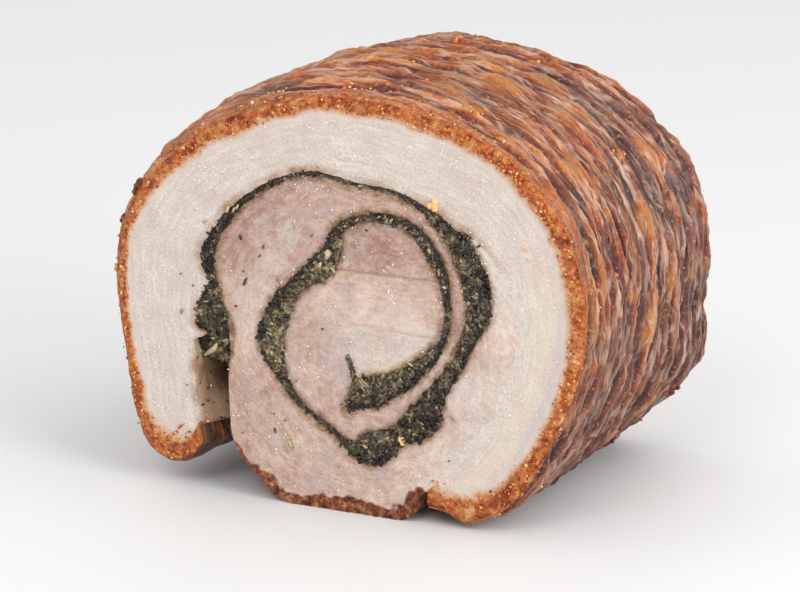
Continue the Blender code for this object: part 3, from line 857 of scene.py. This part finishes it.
def lean_outline():
    """Outline of the lean: down the fat seam, along the base, up the slot, round and back."""
    seam_rows = seam_of_fat()[1]
    seam = seam_rows + left_normals(seam_rows) * SEAM_OVERLAP
    inner = ragged_side(-1, 0.1)
    outer = ragged_side(1, 0.1)
    beside = nearest(outer, seam[5])
    past_end = HERBS[-1, :2] + (HERBS[-1, :2] - HERBS[-2, :2]) / HERB_STEP * 0.5
    return np.vstack([(seam[5] + outer[beside]) / 2, seam[8:], BASE_LINE, inner[4:], past_end[None, :],
                      outer[beside + 4:][::-1]])


def make_rolled_lean():
    """The rolled lean: a fine grid cut to the outline, pushed back to the rear end."""
    outline = lean_outline()
    low, high = outline.min(axis=0) - CELL, outline.max(axis=0) + CELL
    columns, rows = (int(round(v)) for v in (high - low) / CELL)
    piece = new_grid("rolled_lean", columns, rows)
    flat = low + (get_places(piece)[:, :2] + 0.5) * (high - low)
    set_places(piece, np.stack([flat[:, 0], np.zeros(len(flat)), flat[:, 1]], axis=1))
    shape = bmesh.new()
    shape.from_mesh(piece.data)
    shape.faces.ensure_lookup_table()
    centres = np.array([face.calc_center_median()[:] for face in shape.faces])[:, [0, 2]]
    outside = ~inside(outline, centres)
    bmesh.ops.delete(shape, geom=[shape.faces[i] for i in np.flatnonzero(outside)], context="FACES")
    edge_line = resample(np.vstack([outline, outline[:1]]), 0.25)
    rim = [v for v in shape.verts if v.is_boundary]
    rim_places = np.array([v.co[:] for v in rim])[:, [0, 2]]
    index = distance_to(edge_line, rim_places)[1]
    for vertex, spot in zip(rim, edge_line[index]):
        vertex.co.x, vertex.co.z = spot
    bmesh.ops.dissolve_degenerate(shape, dist=0.05, edges=shape.edges)
    pushed = bmesh.ops.extrude_face_region(shape, geom=list(shape.faces), use_keep_orig=True)
    far = [item for item in pushed["geom"] if isinstance(item, bmesh.types.BMVert)]
    bmesh.ops.translate(shape, verts=far, vec=(0.0, LENGTH, 0.0))
    bmesh.ops.recalc_face_normals(shape, faces=shape.faces)
    long_edges = [e for e in shape.edges if abs(e.verts[0].co.y - e.verts[1].co.y) > 1.0]
    places = np.array([e.verts[0].co[:] for e in long_edges])[:, [0, 2]]
    on_base = distance_to(BASE_LINE, places)[0] < 0.9
    base_edges = [edge for edge, chosen in zip(long_edges, on_base) if chosen]
    bmesh.ops.subdivide_edges(shape, edges=base_edges, cuts=RIM_CUTS, use_grid_fill=True)
    shape.to_mesh(piece.data)
    shape.free()
    finish_lean(piece)
    piece.data.materials.append(lean_material())
    piece.data.shade_smooth()
    piece.data.set_sharp_from_angle(angle=SHARP_ANGLE)
    return piece


# Paler and darker parts of the lean: (x, z, reach, paleness)
LEAN_TONES = [(-46, 92, 14, -0.22), (-28, 106, 13, -0.1), (-8, 110, 12, -0.1), (14, 98, 12, -0.3),
              (40, 92, 8, -0.3), (44, 70, 7, -0.35), (-2, 77, 12, 0.35), (22, 77, 12, 0.35),
              (26, 60, 11, 0.6), (6, 64, 9, 0.45), (-12, 46, 12, 0.1), (-38, 60, 8, 0.35),
              (-36, 76, 10, 0.1), (-36, 32, 14, -0.1), (-16, 20, 12, 0.05), (24, 14, 14, 0.3),
              (50, 46, 14, 0.55), (60, 74, 10, 0.6), (36, 30, 8, 0.25), (58, 92, 7, 0.5),
              (30, 42, 6, -0.3)]
# Fat layers inside the lean: (x, z, reach)
FATTY_SPOTS = [(60, 84, 9), (61, 52, 9), (52, 34, 9), (46, 50, 9), (40, 24, 8), (28, 62, 9),
               (18, 59, 8), (8, 59, 8), (-37, 64, 6), (-35, 72, 6), (-32, 80, 6), (-28, 88, 6),
               (-22, 97, 5)]
CORE_MIDDLE = (6.0, 62.0)
# Row of the stuffing's middle line from which it winds round the core
CORE_ROW = 300


def fibre_way(x, z, core):
    """The way of the fibres: round the core's middle, but straight across the core's upper part."""
    across, up = x - CORE_MIDDLE[0], z - CORE_MIDDLE[1]
    angle = np.arctan2(up, across)
    wander = 3.0 * soft_noise(x / 16, z / 16, 20)
    curved = np.stack([40 * np.cos(angle), 40 * np.sin(angle), np.hypot(across, up) + wander], axis=1)
    straight = np.stack([x, 0 * x, z + wander], axis=1)
    return curved + (straight - curved) * (core * step_up(z, 58.0, 70.0))[:, None]


def core_seams(x, z, core):
    """Two thin seams across the core."""
    upper_z = 87.6 - 0.0062 * np.clip(4.0 - x, 0, None) ** 2 + 0.4 * line_noise(x / 7, 23)
    upper = near(z, upper_z, 0.5) * core * step_up(x, -24.0, -16.0) * step_up(x, 37.0, 34.0)
    lower = 0.45 * near(z, 68.0 + 0.6 * np.sin(x / 6), 0.6) * core * step_up(x, 0.0, 8.0)
    return np.maximum(upper, lower)


def base_crust(x, z, to_base):
    """The uneven roasted crust along the underside of the lean."""
    height = 4.8 - 3.2 * step_up(x, -30.0, -42.0) + 1.0 * soft_noise(x / 2.5, z / 2.5, 25)
    height = height + 1.8 * soft_noise(x / 8, z / 8, 24)
    return step_up(to_base, height + 1.2, height - 1.2) * step_up(z, 26.0, 17.0)


def fat_in_lean(x, z, to_seam):
    """Fat layers inside the lean, with torn edges, and its pale border along the seam."""
    fatty = np.zeros(len(x))
    torn_x = x + 3.5 * soft_noise(x / 6, z / 6, 37)
    torn_z = z + 3.5 * soft_noise(x / 6, z / 6, 38)
    for spot_x, spot_z, reach in FATTY_SPOTS:
        nearness = ((torn_x - spot_x) ** 2 + (torn_z - spot_z) ** 2) / reach ** 2
        fatty = np.maximum(fatty, np.exp(-nearness ** 2))
    fatty = fatty * (0.8 - 0.25 * (x < -15.0))
    fatty = np.maximum(fatty, step_up(to_seam, 6.0, 1.0)) * (0.8 + 0.5 * rough_noise(x / 5, z / 5, 35))
    return np.clip(fatty, 0, 1)


def silver_skin(x, z, to_herbs, core):
    """Bluish silverskin: at the core's top, left edge and middle, and in the layer round it."""
    top = near(z, 105.0 - 0.018 * (x - 17.0) ** 2, 1.4) * near(x, 19.0, 8.0) * core
    left = 0.6 * near(to_herbs, 1.6, 1.3) * core * step_up(x, -14.0, -22.0)
    middle = 0.45 * near(x + 0.25 * (z - 50.0), -1.0, 5.0) * near(z, 50.0, 13.0) * core
    outside = 0.35 * near(to_herbs, 9.0, 3.0) * ~core * near(x, -26.0, 12.0) * near(z, 96.0, 12.0)
    return np.clip(top + left + middle + outside, 0, 0.9)


def finish_lean(piece):
    """Relief of the cut ends and crust, and the masks of the meat's layers."""
    places = get_places(piece)
    x, behind, z = places.T
    flat = np.stack([x, z], axis=1)
    to_middle, along = distance_to(HERBS_FINE, flat)
    to_herbs = to_middle - HERBS_FINE[along, 2] / 2
    to_base, base_along = distance_to(BASE_LINE, flat)
    to_seam = distance_to(SEAM_LINE, flat)[0]
    core = inside(herb_side(HERBS_FINE[CORE_ROW:], -1, 0.0), flat)
    is_front = behind < 0.01
    is_rear = behind > LENGTH - 0.01
    lumps = rough_noise(x / 9, z / 9, 22)
    proud = 0.3 * lumps + 0.13 * soft_noise(x / 2.4, z / 1.6, 21)
    seam = core_seams(x, z, core)
    proud = proud - 0.5 * seam - 0.7 * step_up(to_herbs, 1.3, 0.0)
    proud = 0.03 + proud * step_up(to_seam, 0.0, 5.0)
    crust = base_crust(x, z, to_base)
    proud = proud + crust * (0.2 + 0.8 * rough_noise(x / 1.8, z / 1.8, 26))
    moved = behind + np.where(is_front, -proud, 0.0) + np.where(is_rear, proud, 0.0)
    on_wall = ~is_front & ~is_rear
    bumps = rough_noise(behind / 6 + 5, base_along / 6.0, 27)
    lift = on_wall * np.clip(bumps, -0.2, 1.0) * step_up(z, 0.2, 3.0)
    set_places(piece, in_frame(x, moved, z + 0.7 * lift))
    pale = 0.45 + toned(x, z, LEAN_TONES) + 0.5 * step_up(to_seam, 5.0, 0.0)
    note(piece, "pale", np.clip(pale, 0, 1.2))
    note(piece, "fatty", fat_in_lean(x, z, to_seam))
    pink = 0.35 + 0.5 * near(x, -30.0, 26.0) * near(z, 104.0, 18.0) + 0.4 * near(x, 44.0, 6.0)
    pink = pink + 0.35 * (core & (z > 88.0)) - 0.35 * step_up(z, 36.0, 24.0)
    pink = pink - 0.3 * step_up(to_seam, 14.0, 4.0)
    note(piece, "pink", np.clip(pink, 0, 1))
    note(piece, "silver", silver_skin(x, z, to_herbs, core))
    note(piece, "seam", np.clip(0.55 * seam, 0, 1))
    over_pocket = near(to_herbs, 0.5, 1.3) * core * (z < 66.0) * (z > 46.0) * (x > 6.0)
    note(piece, "golden", np.clip(0.75 * over_pocket, 0, 1))
    edge_noise = rough_noise(x / 3.5, z / 3.5, 28)
    note(piece, "browned", np.clip(step_up(to_herbs, 3.4, 0.7) * (0.9 + 1.2 * edge_noise), 0, 1))
    note(piece, "crust", np.where(on_wall, 0.9, crust))
    note_way(piece, "fibres", fibre_way(x, z, core))


def herb_recess(line):
    """How deep the stuffing lies behind the cut: deepest at its open end in the slot."""
    along = run_lengths(line)
    return 0.25 + 4.75 * step_up(along, 22.0, 0.0) + 0.3 * line_noise(along / 7, 33)


HERB_ACROSS = 8


def make_herb_stuffing():
    """The winding layer of chopped herbs, with crumbly cut ends."""
    line = HERBS_FINE
    ring = 2 * HERB_ACROSS + 4
    piece = new_grid("herb_layer", ring, len(line) - 1)
    share = np.linspace(1.0, -1.0, HERB_ACROSS + 1)
    sides = np.concatenate([share, [-1.0, -1.0], share[::-1][1:], [1.0, 1.0]])
    at_rear = np.concatenate([np.zeros(HERB_ACROSS + 1), [0.5], np.ones(HERB_ACROSS + 1), [0.5, 0.0]])
    inner, outer = ragged_side(-1, 0.0), ragged_side(1, 0.0)
    flat = inner[:, None, :] + (outer - inner)[:, None, :] * (0.5 + 0.5 * sides)[None, :, None]
    x, z = flat[:, :, 0], flat[:, :, 1]
    rough = 0.45 * rough_noise(x / 1.6, z / 1.6, 31) * (np.abs(sides)[None, :] < 1)
    depth = herb_recess(line)[:, None] - rough
    behind = depth + (LENGTH - 2 * depth) * at_rear[None, :]
    set_places(piece, in_frame(x, behind, z).reshape(-1, 3))
    # Painted shadow: the stuffing darker at both sides, in the cracks where it meets the meat.
    painted_crack_shadow = 0.22 * (1 - np.abs(sides)[None, :] ** 3)
    note(piece, "shade", np.clip(0.04 + painted_crack_shadow + 0.22 * rough_noise(x / 2.2, z / 2.2, 32), 0, 1))
    close_wrapped_grid(piece, ring)
    piece.data.materials.append(herb_material())
    piece.data.shade_smooth()
    return piece


def pebble(name, length, width, thickness):
    """A small flat pebble or leaf with few faces, in millimetres; the copies are made from it."""
    deselect_all()
    bpy.ops.mesh.primitive_ico_sphere_add(subdivisions=1, radius=0.5)
    template = take_active(name)
    set_places(template, get_places(template) * np.array([length, width, thickness]) * MM)
    return template


def turns(vectors):
    """Rotation matrices from rotation vectors."""
    angle = np.linalg.norm(vectors, axis=1)
    axis = vectors / np.maximum(angle, 1e-9)[:, None]
    cross = np.zeros((len(vectors), 3, 3))
    cross[:, 0, 1], cross[:, 0, 2], cross[:, 1, 2] = -axis[:, 2], axis[:, 1], -axis[:, 0]
    cross[:, 1, 0], cross[:, 2, 0], cross[:, 2, 1] = axis[:, 2], -axis[:, 1], axis[:, 0]
    sine, cosine = np.sin(angle)[:, None, None], np.cos(angle)[:, None, None]
    return np.eye(3) + sine * cross + (1 - cosine) * cross @ cross


def flat_turns(angles, tilts):
    """Turns that lay a flat thing on the cut, its length at an angle in it, then tilt it."""
    lying = np.zeros((len(angles), 3, 3))
    lying[:, 0, 0], lying[:, 2, 0] = np.cos(angles), np.sin(angles)
    lying[:, 0, 1], lying[:, 2, 1] = -np.sin(angles), np.cos(angles)
    lying[:, 1, 2] = -1.0
    return turns(tilts) @ lying


def scatter(name, template, places, rotations, sizes, shades, material):
    """One mesh of many copies of a small template, each with a place, turn, size and shade."""
    base = get_places(template)
    corners = np.array([face.vertices[:] for face in template.data.polygons])
    sizes = np.broadcast_to(np.asarray(sizes, float).reshape(len(places), -1), (len(places), 3))
    moved = np.einsum("nij,nkj->nki", rotations, base[None] * sizes[:, None, :]) + places[:, None, :]
    faces = corners[None] + (np.arange(len(places)) * len(base))[:, None, None]
    mesh = bpy.data.meshes.new(name)
    mesh.from_pydata(moved.reshape(-1, 3).tolist(), [], faces.reshape(-1, 3).tolist())
    piece = bpy.data.objects.new(name, mesh)
    bpy.context.collection.objects.link(piece)
    note(piece, "shade", np.repeat(shades, len(base)))
    mesh.shade_smooth()
    mesh.materials.append(material)
    bpy.data.objects.remove(template)
    return piece


LEAF_SHADES = np.array([0.06, 0.12, 0.18, 0.24, 0.3, 0.36, 0.42, 0.5, 0.6, 0.75])
# Paler and darker parts of the stuffing: (x, z, reach, paleness); the darker ones at the upper left paint
# the shadow in the cracks there
HERB_TONES = [(-46, 100, 14, -0.2), (-52, 84, 8, -0.14), (50, 84, 12, -0.03), (-26, 58, 12, 0.16),
              (-8, 90, 8, 0.16), (-50, 58, 9, -0.02), (16, 48, 8, 0.06), (2, 23, 8, -0.04),
              (30, 40, 8, -0.12)]
FRONT_LEAVES = 6600
REAR_LEAVES = 2800


def make_herb_leaves(material):
    """Chopped leaves that stand out of the cut ends of the stuffing."""
    chance = np.random.default_rng(11)
    line = HERBS_FINE
    normals = left_normals(line)
    recess = herb_recess(line)
    weights = line[:, 2] ** 1.2
    count = FRONT_LEAVES + REAR_LEAVES
    index = chance.choice(len(line), count, p=weights / weights.sum())
    width = line[index, 2]
    size = np.clip(0.4 + 0.13 * width, 0.5, 1.35) * chance.uniform(0.5, 1.8, count)
    side = chance.uniform(-0.9, 0.9, count) * width / 2
    side = side + chance.normal(0, 1.0, count) * (0.05 * width + 0.15)
    spot = line[index, :2] + normals[index] * side[:, None]
    shade = 0.36 + 0.3 * soft_noise(spot[:, 0] / 3.4, spot[:, 1] / 3.4, 36) + chance.normal(0, 0.13, count)
    # Leaves towards the outer side are darker, painted shadow in the crack there; a few at random are pale.
    shade = shade - 0.3 * step_up(side / width, 0.1, 0.5) + 0.35 * (chance.random(count) < 0.08)
    shade = shade + toned(spot[:, 0], spot[:, 1], HERB_TONES)
    out = chance.uniform(-0.3, 0.6, count) - recess[index]
    behind = np.where(np.arange(count) < FRONT_LEAVES, -out, LENGTH + out)
    rotations = flat_turns(chance.uniform(0, 2 * np.pi, count), chance.normal(0, 0.45, (count, 3)))
    return scatter("herb_leaves", pebble("leaf", 2.0, 0.85, 0.32), in_frame(spot[:, 0], behind, spot[:, 1]),
                   rotations, size, np.clip(shade, 0.02, 1.0), material)


# Loose herbs on the cut: (x, z, length in mm, width, slant in degrees, shade)
FLECKS = [(-54.2, 98.8, 3.2, 1.2, 30, 0.75), (-64, 78.8, 1.5, 1, 0, 0.5),
          (-63.8, 65.1, 3, 1.6, 80, 0.6), (-59.1, 75.1, 1.6, 0.9, 20, 0.4),
          (-40.1, 94.8, 3.2, 1.5, 100, 0.15), (-31.3, 92.4, 2.2, 1.2, 60, 0.3),
          (-32.7, 89, 2.2, 1, 50, 0.35), (-38.5, 79, 5, 1.5, 65, 0.2),
          (-25.7, 81.2, 2.4, 1.4, 110, 0.55), (-39.1, 82.6, 1.4, 0.9, 0, 0.3),
          (-42.2, 69.7, 1.6, 1.1, 0, 0.15), (-8.5, 65.6, 1.6, 1.1, 0, 0.3),
          (50.6, 102.2, 2.6, 1.1, 30, 0.1), (47.2, 103.7, 2.4, 0.8, 70, 0.2),
          (8.6, 102.9, 1.6, 1, 0, 0.15), (-27.3, 26.1, 3, 1.3, 110, 0.25),
          (-1.2, 39.3, 2, 1.1, 20, 0.3), (39.9, 24.4, 1.1, 0.9, 0, 0.15),
          (-18.8, 45.5, 1.5, 0.8, 30, 0.4), (-27.6, 32.2, 1.4, 0.9, 60, 0.4),
          (-23.3, 30.4, 1.3, 0.9, 0, 0.4), (-40.1, 23.5, 1.3, 0.9, 0, 0.4),
          (-62.2, 38.2, 1.3, 0.8, 0, 0.4), (-61.6, 20.9, 1.8, 0.9, 20, 0.3),
          (45.4, 105, 3, 1.8, 40, 0.15), (47.4, 103.6, 3.4, 1.6, -40, 0.22),
          (44.6, 106, 2.6, 1.6, 10, 0.3), (48.8, 101.6, 3, 1.5, -52, 0.28),
          (46.4, 102.6, 2.6, 1.6, -20, 0.12), (46.6, 104.6, 2.2, 1.2, 60, 0.4),
          (-20.4, 76.6, 2.8, 1.4, 95, 0.35), (-12.4, 98.6, 2.4, 1, 60, 0.45),
          (54, 91, 1.6, 0.8, 10, 0.3)]
# The thin line of herbs that runs up from the innermost pocket
CORE_LINE = [(1.2, 56.6), (2.6, 53.4), (3.4, 49.6), (5.2, 46.4)]
SLOT_CRUMBS = 32


def make_flecks(material):
    """Loose bits of herb on the cut, and crumbs of it in the slot."""
    chance = np.random.default_rng(12)
    rows = np.array(FLECKS, float)
    line = smooth_curve(CORE_LINE, 0.16)
    spot = np.repeat(line, 3, axis=0)
    spot = spot + chance.normal(0, 0.35, spot.shape)
    z = chance.uniform(14.0, 49.0, SLOT_CRUMBS)
    behind = 1.0 + 17.0 * chance.random(SLOT_CRUMBS) ** 1.4
    wall = np.interp(z, [11.0, 17.6, 24.0, 34.0, 44.0, 50.0], [-60.0, -55.6, -57.2, -58.3, -59.2, -58.5])
    on_flap = chance.random(SLOT_CRUMBS) < 0.8
    lean_side = np.interp(z, [8.6, 14.2, 22.0, 30.0, 42.0], [-34.4, -40.6, -44.4, -45.2, -45.6])
    x = np.where(on_flap, wall + slot_lean(wall, z, behind) + 0.2, lean_side - 0.2)
    keep = chance.random(SLOT_CRUMBS) < step_up(z, 12.0, 46.0) + 0.2
    places = np.vstack([in_frame(rows[:, 0], np.full(len(rows), -0.45), rows[:, 1]),
                        in_frame(spot[:, 0], chance.uniform(-0.5, 0.1, len(spot)), spot[:, 1]),
                        in_frame(x, behind, z)[keep]])
    count = len(places) - len(rows)
    fleck_sizes = np.stack([0.8 * rows[:, 2], 0.8 * rows[:, 3], np.full(len(rows), 0.7)], axis=1)
    crumb_sizes = np.stack([chance.uniform(0.8, 2.8, count), chance.uniform(0.5, 1.4, count),
                            np.full(count, 0.45)], axis=1)
    angles = np.concatenate([np.radians(rows[:, 4]), chance.uniform(0, 2 * np.pi, count)])
    tilts = np.vstack([np.zeros((len(rows), 3)), chance.normal(0, 0.6, (count, 3))])
    return scatter("herb_flecks", pebble("fleck", 1.0, 1.0, 1.0), places, flat_turns(angles, tilts),
                   np.vstack([fleck_sizes, crumb_sizes]),
                   np.concatenate([rows[:, 5] + 0.1, chance.choice(LEAF_SHADES, count)]), material)


# Bits of stalk, seed and twig on the cut: (x, z, length, thickness, slant in degrees, shade)
STALKS = [(7.2, 47.4, 6.4, 0.9, -46, 0.95), (8.2, 47.9, 6.8, 0.8, -44, 0.8), (9, 47, 5.6, 0.8, -50, 1),
          (8.4, 46, 6, 0.7, -42, 0.7), (6.8, 46.4, 4.6, 0.7, -52, 0.9),
          (41.2, 39.6, 4.4, 0.6, -38, 0.7), (42, 39, 3, 0.4, -34, 1), (-21.3, 22, 4.2, 1.7, -60, 0.85),
          (-51.9, 52.4, 6.5, 2.2, 38, 0.85), (-53.6, 51, 4.5, 1.6, 30, 0.75),
          (-50.6, 54, 3.4, 1.2, 55, 0.95), (-45, 104.2, 3.4, 1.2, 70, 1), (-42.6, 104.4, 3, 1, 60, 0.9),
          (-41.2, 105.6, 2.6, 0.9, 64, 1), (-6.4, 92.6, 4.6, 2.4, 80, 0.95),
          (-9.4, 88.4, 3.6, 1.6, 60, 0.9), (3.6, 53.2, 4.6, 0.5, -64, 0.6)]


def make_stalks(material):
    """Straw-coloured stalks, a fennel seed and a twig."""
    rows = np.array(STALKS, float)
    places = in_frame(rows[:, 0], np.full(len(rows), -0.5), rows[:, 1])
    sizes = np.stack([rows[:, 2], rows[:, 3], rows[:, 3] * 0.8], axis=1)
    rotations = flat_turns(np.radians(rows[:, 4]), np.zeros((len(rows), 3)))
    return scatter("stalks_and_seeds", pebble("stalk", 1.0, 1.0, 1.0), places, rotations, sizes,
                   rows[:, 5], material)


def skin_places(around, behind, lift):
    """Places on the rind at distances round and behind, raised a little."""
    rows = at_lengths(SKIN_TABLE, around)
    swell, fade = rind_swell(around, behind)
    stand = fade * (swell + crackling_relief(around, behind)[0]) + lift
    x = rows[:, 0] + rows[:, 2] * stand
    z = rows[:, 1] + rows[:, 3] * stand
    return in_frame(x, behind, np.maximum(z, 0.6))


# Crumbs and lumps seen in the photo: (distance round, distance behind, spread, count, size, shade)
SKIN_LUMPS = [(126, 1.5, 2.6, 14, 2.2, 0.12), (112, 1.5, 1.6, 6, 1.8, 0.2), (94, 1, 2, 8, 1.4, 0.45),
              (218, 96, 1.6, 8, 1.8, 0.6), (248, 96, 1.6, 7, 1.7, 0.62), (338, 28, 1.2, 6, 1.5, 0.6),
              (352, 30, 1.2, 6, 1.5, 0.55), (404, 108, 3, 9, 1.9, 0.1), (412, 92, 3, 9, 1.8, 0.2),
              (420, 82, 3, 8, 1.7, 0.15), (438, 30, 4, 9, 1.8, 0.1), (300, 70, 6, 10, 1, 0.6),
              (262, 12, 7, 16, 1.1, 0.75), (226, 8, 9, 18, 1.1, 0.75), (196, 4, 9, 16, 1.1, 0.7)]
# Lumps seen on the cut: (x, z, spread, count, size, shade)
CUT_LUMPS = [(33.4, 114.4, 1.7, 9, 2.6, 0.84), (67.5, 102.8, 1, 4, 1.1, 0.8),
             (68.6, 99.5, 0.8, 3, 1, 0.78), (21.9, 29.4, 1.6, 8, 2.6, 0.86),
             (-20.4, 24.8, 0.8, 3, 1.2, 0.8), (44, 96.2, 0.9, 3, 1.2, 0.8)]
EDGE_CRUMBS = 1700
REAR_CRUMBS = 900
STREWN_CRUMBS = 700
LOW_CRUMBS = 260


def edge_crumbs(chance):
    """Places of the crumbs along both cut edges of the rind."""
    count = EDGE_CRUMBS + REAR_CRUMBS
    around = chance.uniform(0, GIRTH, count)
    rind = np.interp(around, *np.array(RIND_THICKNESS, float).T)
    below = 0.9 + np.minimum(chance.random(count) ** 1.2 * rind * 0.9, 9.0)
    rows = at_lengths(SKIN_TABLE, around)
    at_front = np.arange(count) < EDGE_CRUMBS
    cut = np.where(at_front, 0.0, LENGTH)
    swell, fade = rind_swell(around, cut)
    inset = below + 0.6 * EDGE_ROUND - fade * (swell + crackling_relief(around, cut)[0])
    out = chance.uniform(0.0, 0.5, count)
    z = np.maximum(rows[:, 1] - rows[:, 3] * inset, 0.5)
    return in_frame(rows[:, 0] - rows[:, 2] * inset, np.where(at_front, -out, LENGTH + out), z)


def strewn_crumbs(chance):
    """Places of the crumbs on the folds; the last of them lie low on the two flaps."""
    half = LOW_CRUMBS // 2
    around = np.concatenate([chance.uniform(20, GIRTH - 20, STREWN_CRUMBS), chance.uniform(0, 60, half),
                             chance.uniform(410, GIRTH, LOW_CRUMBS - half)])
    behind = LENGTH * chance.random(len(around))
    behind[:STREWN_CRUMBS // 2] = 9.0 * chance.random(STREWN_CRUMBS // 2) ** 1.5
    return skin_places(around, behind, 0.1)


def make_rind_crumbs(material):
    """Crumbs of crackling along both cut edges of the rind, and crumbs and lumps on the folds."""
    chance = np.random.default_rng(13)
    places = [edge_crumbs(chance), strewn_crumbs(chance)]
    count = sum(len(rows) for rows in places)
    size = 0.35 + 0.85 * chance.random(count) ** 2.2
    size[-LOW_CRUMBS:] *= 1.7
    sizes = [size[:, None] * chance.uniform(0.6, 1.3, (count, 3))]
    shades = [np.clip(chance.normal(0.5, 0.18, count), 0.1, 0.9)]
    shades[0][-LOW_CRUMBS:] -= 0.35
    for around, behind, spread, number, lump_size, shade in SKIN_LUMPS:
        aside = chance.normal(0, 0.5 * spread, (number, 2))
        lump_behind = np.clip(behind + aside[:, 1], 0.3, LENGTH - 0.3)
        places.append(skin_places(around + aside[:, 0], lump_behind, 0.25 * lump_size))
        sizes.append(lump_size * chance.uniform(0.5, 1.2, (number, 3)))
        shades.append(np.clip(shade + chance.normal(0, 0.08, number), 0, 1))
    for x, z, spread, number, lump_size, shade in CUT_LUMPS:
        aside = chance.normal(0, 0.5 * spread, (number, 2))
        places.append(in_frame(x + aside[:, 0], np.full(number, -0.1), z + aside[:, 1]))
        sizes.append(lump_size * chance.uniform(0.5, 1.1, (number, 3)))
        shades.append(np.full(number, shade))
    places = np.vstack(places)
    rotations = turns(chance.normal(0, 2.0, (len(places), 3)))
    return scatter("rind_crumbs", pebble("crumb", 1.0, 1.0, 1.0), places, rotations,
                   np.vstack(sizes), np.concatenate(shades), material)


DROP_TRIES = 9000
DROPS = 1500


def make_juice_glint_drops(material):
    """Tiny drops of fat and juice on the front cut, near white as painted glints."""
    chance = np.random.default_rng(14)
    across, up = chance.uniform(-80, 80, DROP_TRIES), chance.uniform(6, 140, DROP_TRIES)
    spots = np.stack([across, up], axis=1)
    clusters = soft_noise(spots[:, 0] / 11, spots[:, 1] / 11, 34)
    spots = spots[chance.random(len(spots)) < 0.08 + 0.9 * step_up(clusters, 0.1, 0.9)]
    to_middle, along = distance_to(HERBS_FINE, spots)
    wet = inside(np.vstack([SKIN_LINE, BASE_LINE]), spots) & (distance_to(SKIN_LINE, spots)[0] > 7.0)
    spots = spots[wet & (to_middle > HERBS_FINE[along, 2] / 2 + 0.6)][:DROPS]
    count = len(spots)
    size = 0.2 + 0.45 * chance.random(count) ** 3
    sizes = np.stack([size * chance.uniform(0.8, 1.5, count), size, size * 0.7], axis=1)
    places = in_frame(spots[:, 0], np.full(count, -0.3), spots[:, 1])
    rotations = flat_turns(chance.uniform(0, 2 * np.pi, count), np.zeros((count, 3)))
    return scatter("juice_glint_drops", pebble("drop", 1.0, 1.0, 1.0), places, rotations, sizes,
                   np.ones(count), material)


# The camera, from the fit to the photograph: degrees and millimetres from the middle of the cut
CAMERA_AZIMUTH = 25.5
CAMERA_RISE = 16.0
CAMERA_PLACE = (586.9, -1186.3, 457.9)
LENS = 180.0
SENSOR = 36.0


def make_camera():
    azimuth, rise = math.radians(CAMERA_AZIMUTH), math.radians(CAMERA_RISE)
    level = math.cos(rise)
    ahead = Vector((-math.sin(azimuth) * level, math.cos(azimuth) * level, -math.sin(rise)))
    camera_data = bpy.data.cameras.new("camera")
    camera_data.lens = LENS
    camera_data.sensor_width = SENSOR
    camera = bpy.data.objects.new("camera", camera_data)
    x, behind, z = CAMERA_PLACE
    camera.location = Vector(in_frame(x, behind, z))
    camera.rotation_euler = ahead.to_track_quat("-Z", "Y").to_euler()
    bpy.context.collection.objects.link(camera)
    bpy.context.scene.camera = camera
    bpy.context.scene.view_settings.view_transform = "Standard"


# Lights: name, place in metres, size in metres, power in watts
LIGHTS = [("key", (0.1, -1.5, 1.6), 0.8, 8.5), ("top", (0.9, -0.1, 1.3), 1.0, 4.5),
          ("right", (1.5, -0.6, 0.7), 0.8, 13.5)]
SURROUND = 0.9
FLOOR_COLOUR = (0.75, 0.75, 0.75, 1.0)


def make_lights_and_floor():
    """Pale floor, soft light from the front, above and the right, and a white surround."""
    world = bpy.data.worlds.new("white_surround")
    world.use_nodes = True
    surround = world.node_tree.nodes["Background"]
    surround.inputs["Color"].default_value = linear("#ffffff")
    surround.inputs["Strength"].default_value = SURROUND
    bpy.context.scene.world = world
    deselect_all()
    bpy.ops.mesh.primitive_plane_add(size=12.0, location=(0.0, 0.0, 0.0))
    floor = take_active("floor")
    material, tree = new_material("pale_floor")
    set_shader(tree, Base_Color=FLOOR_COLOUR, Roughness=0.6)
    floor.data.materials.append(material)
    for name, place, size, power in LIGHTS:
        light = bpy.data.lights.new(name, "AREA")
        light.size = size
        light.energy = power
        lamp = bpy.data.objects.new(name, light)
        lamp.location = place
        lamp.rotation_euler = (Vector((0, 0, 0.07)) - Vector(place)).to_track_quat("-Z", "Y").to_euler()
        bpy.context.collection.objects.link(lamp)


def hand_over(piece, node=None):
    """Fixes a piece to the roll, and hides the node that it stands for."""
    if node:
        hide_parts(node)
    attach(piece, "root")


def main():
    make_camera()
    make_lights_and_floor()
    hand_over(make_crackling_and_fat(), "rind_and_fat")
    hand_over(make_rolled_lean(), "lean_roll")
    hand_over(make_herb_stuffing(), "herb_stuffing")
    herbs = bpy.data.materials["baked_herbs"]
    hand_over(make_herb_leaves(herbs))
    hand_over(make_flecks(herbs))
    hand_over(make_stalks(herbs))
    hand_over(make_rind_crumbs(crumb_material()))
    hand_over(make_juice_glint_drops(juice_glint_material()))


main()
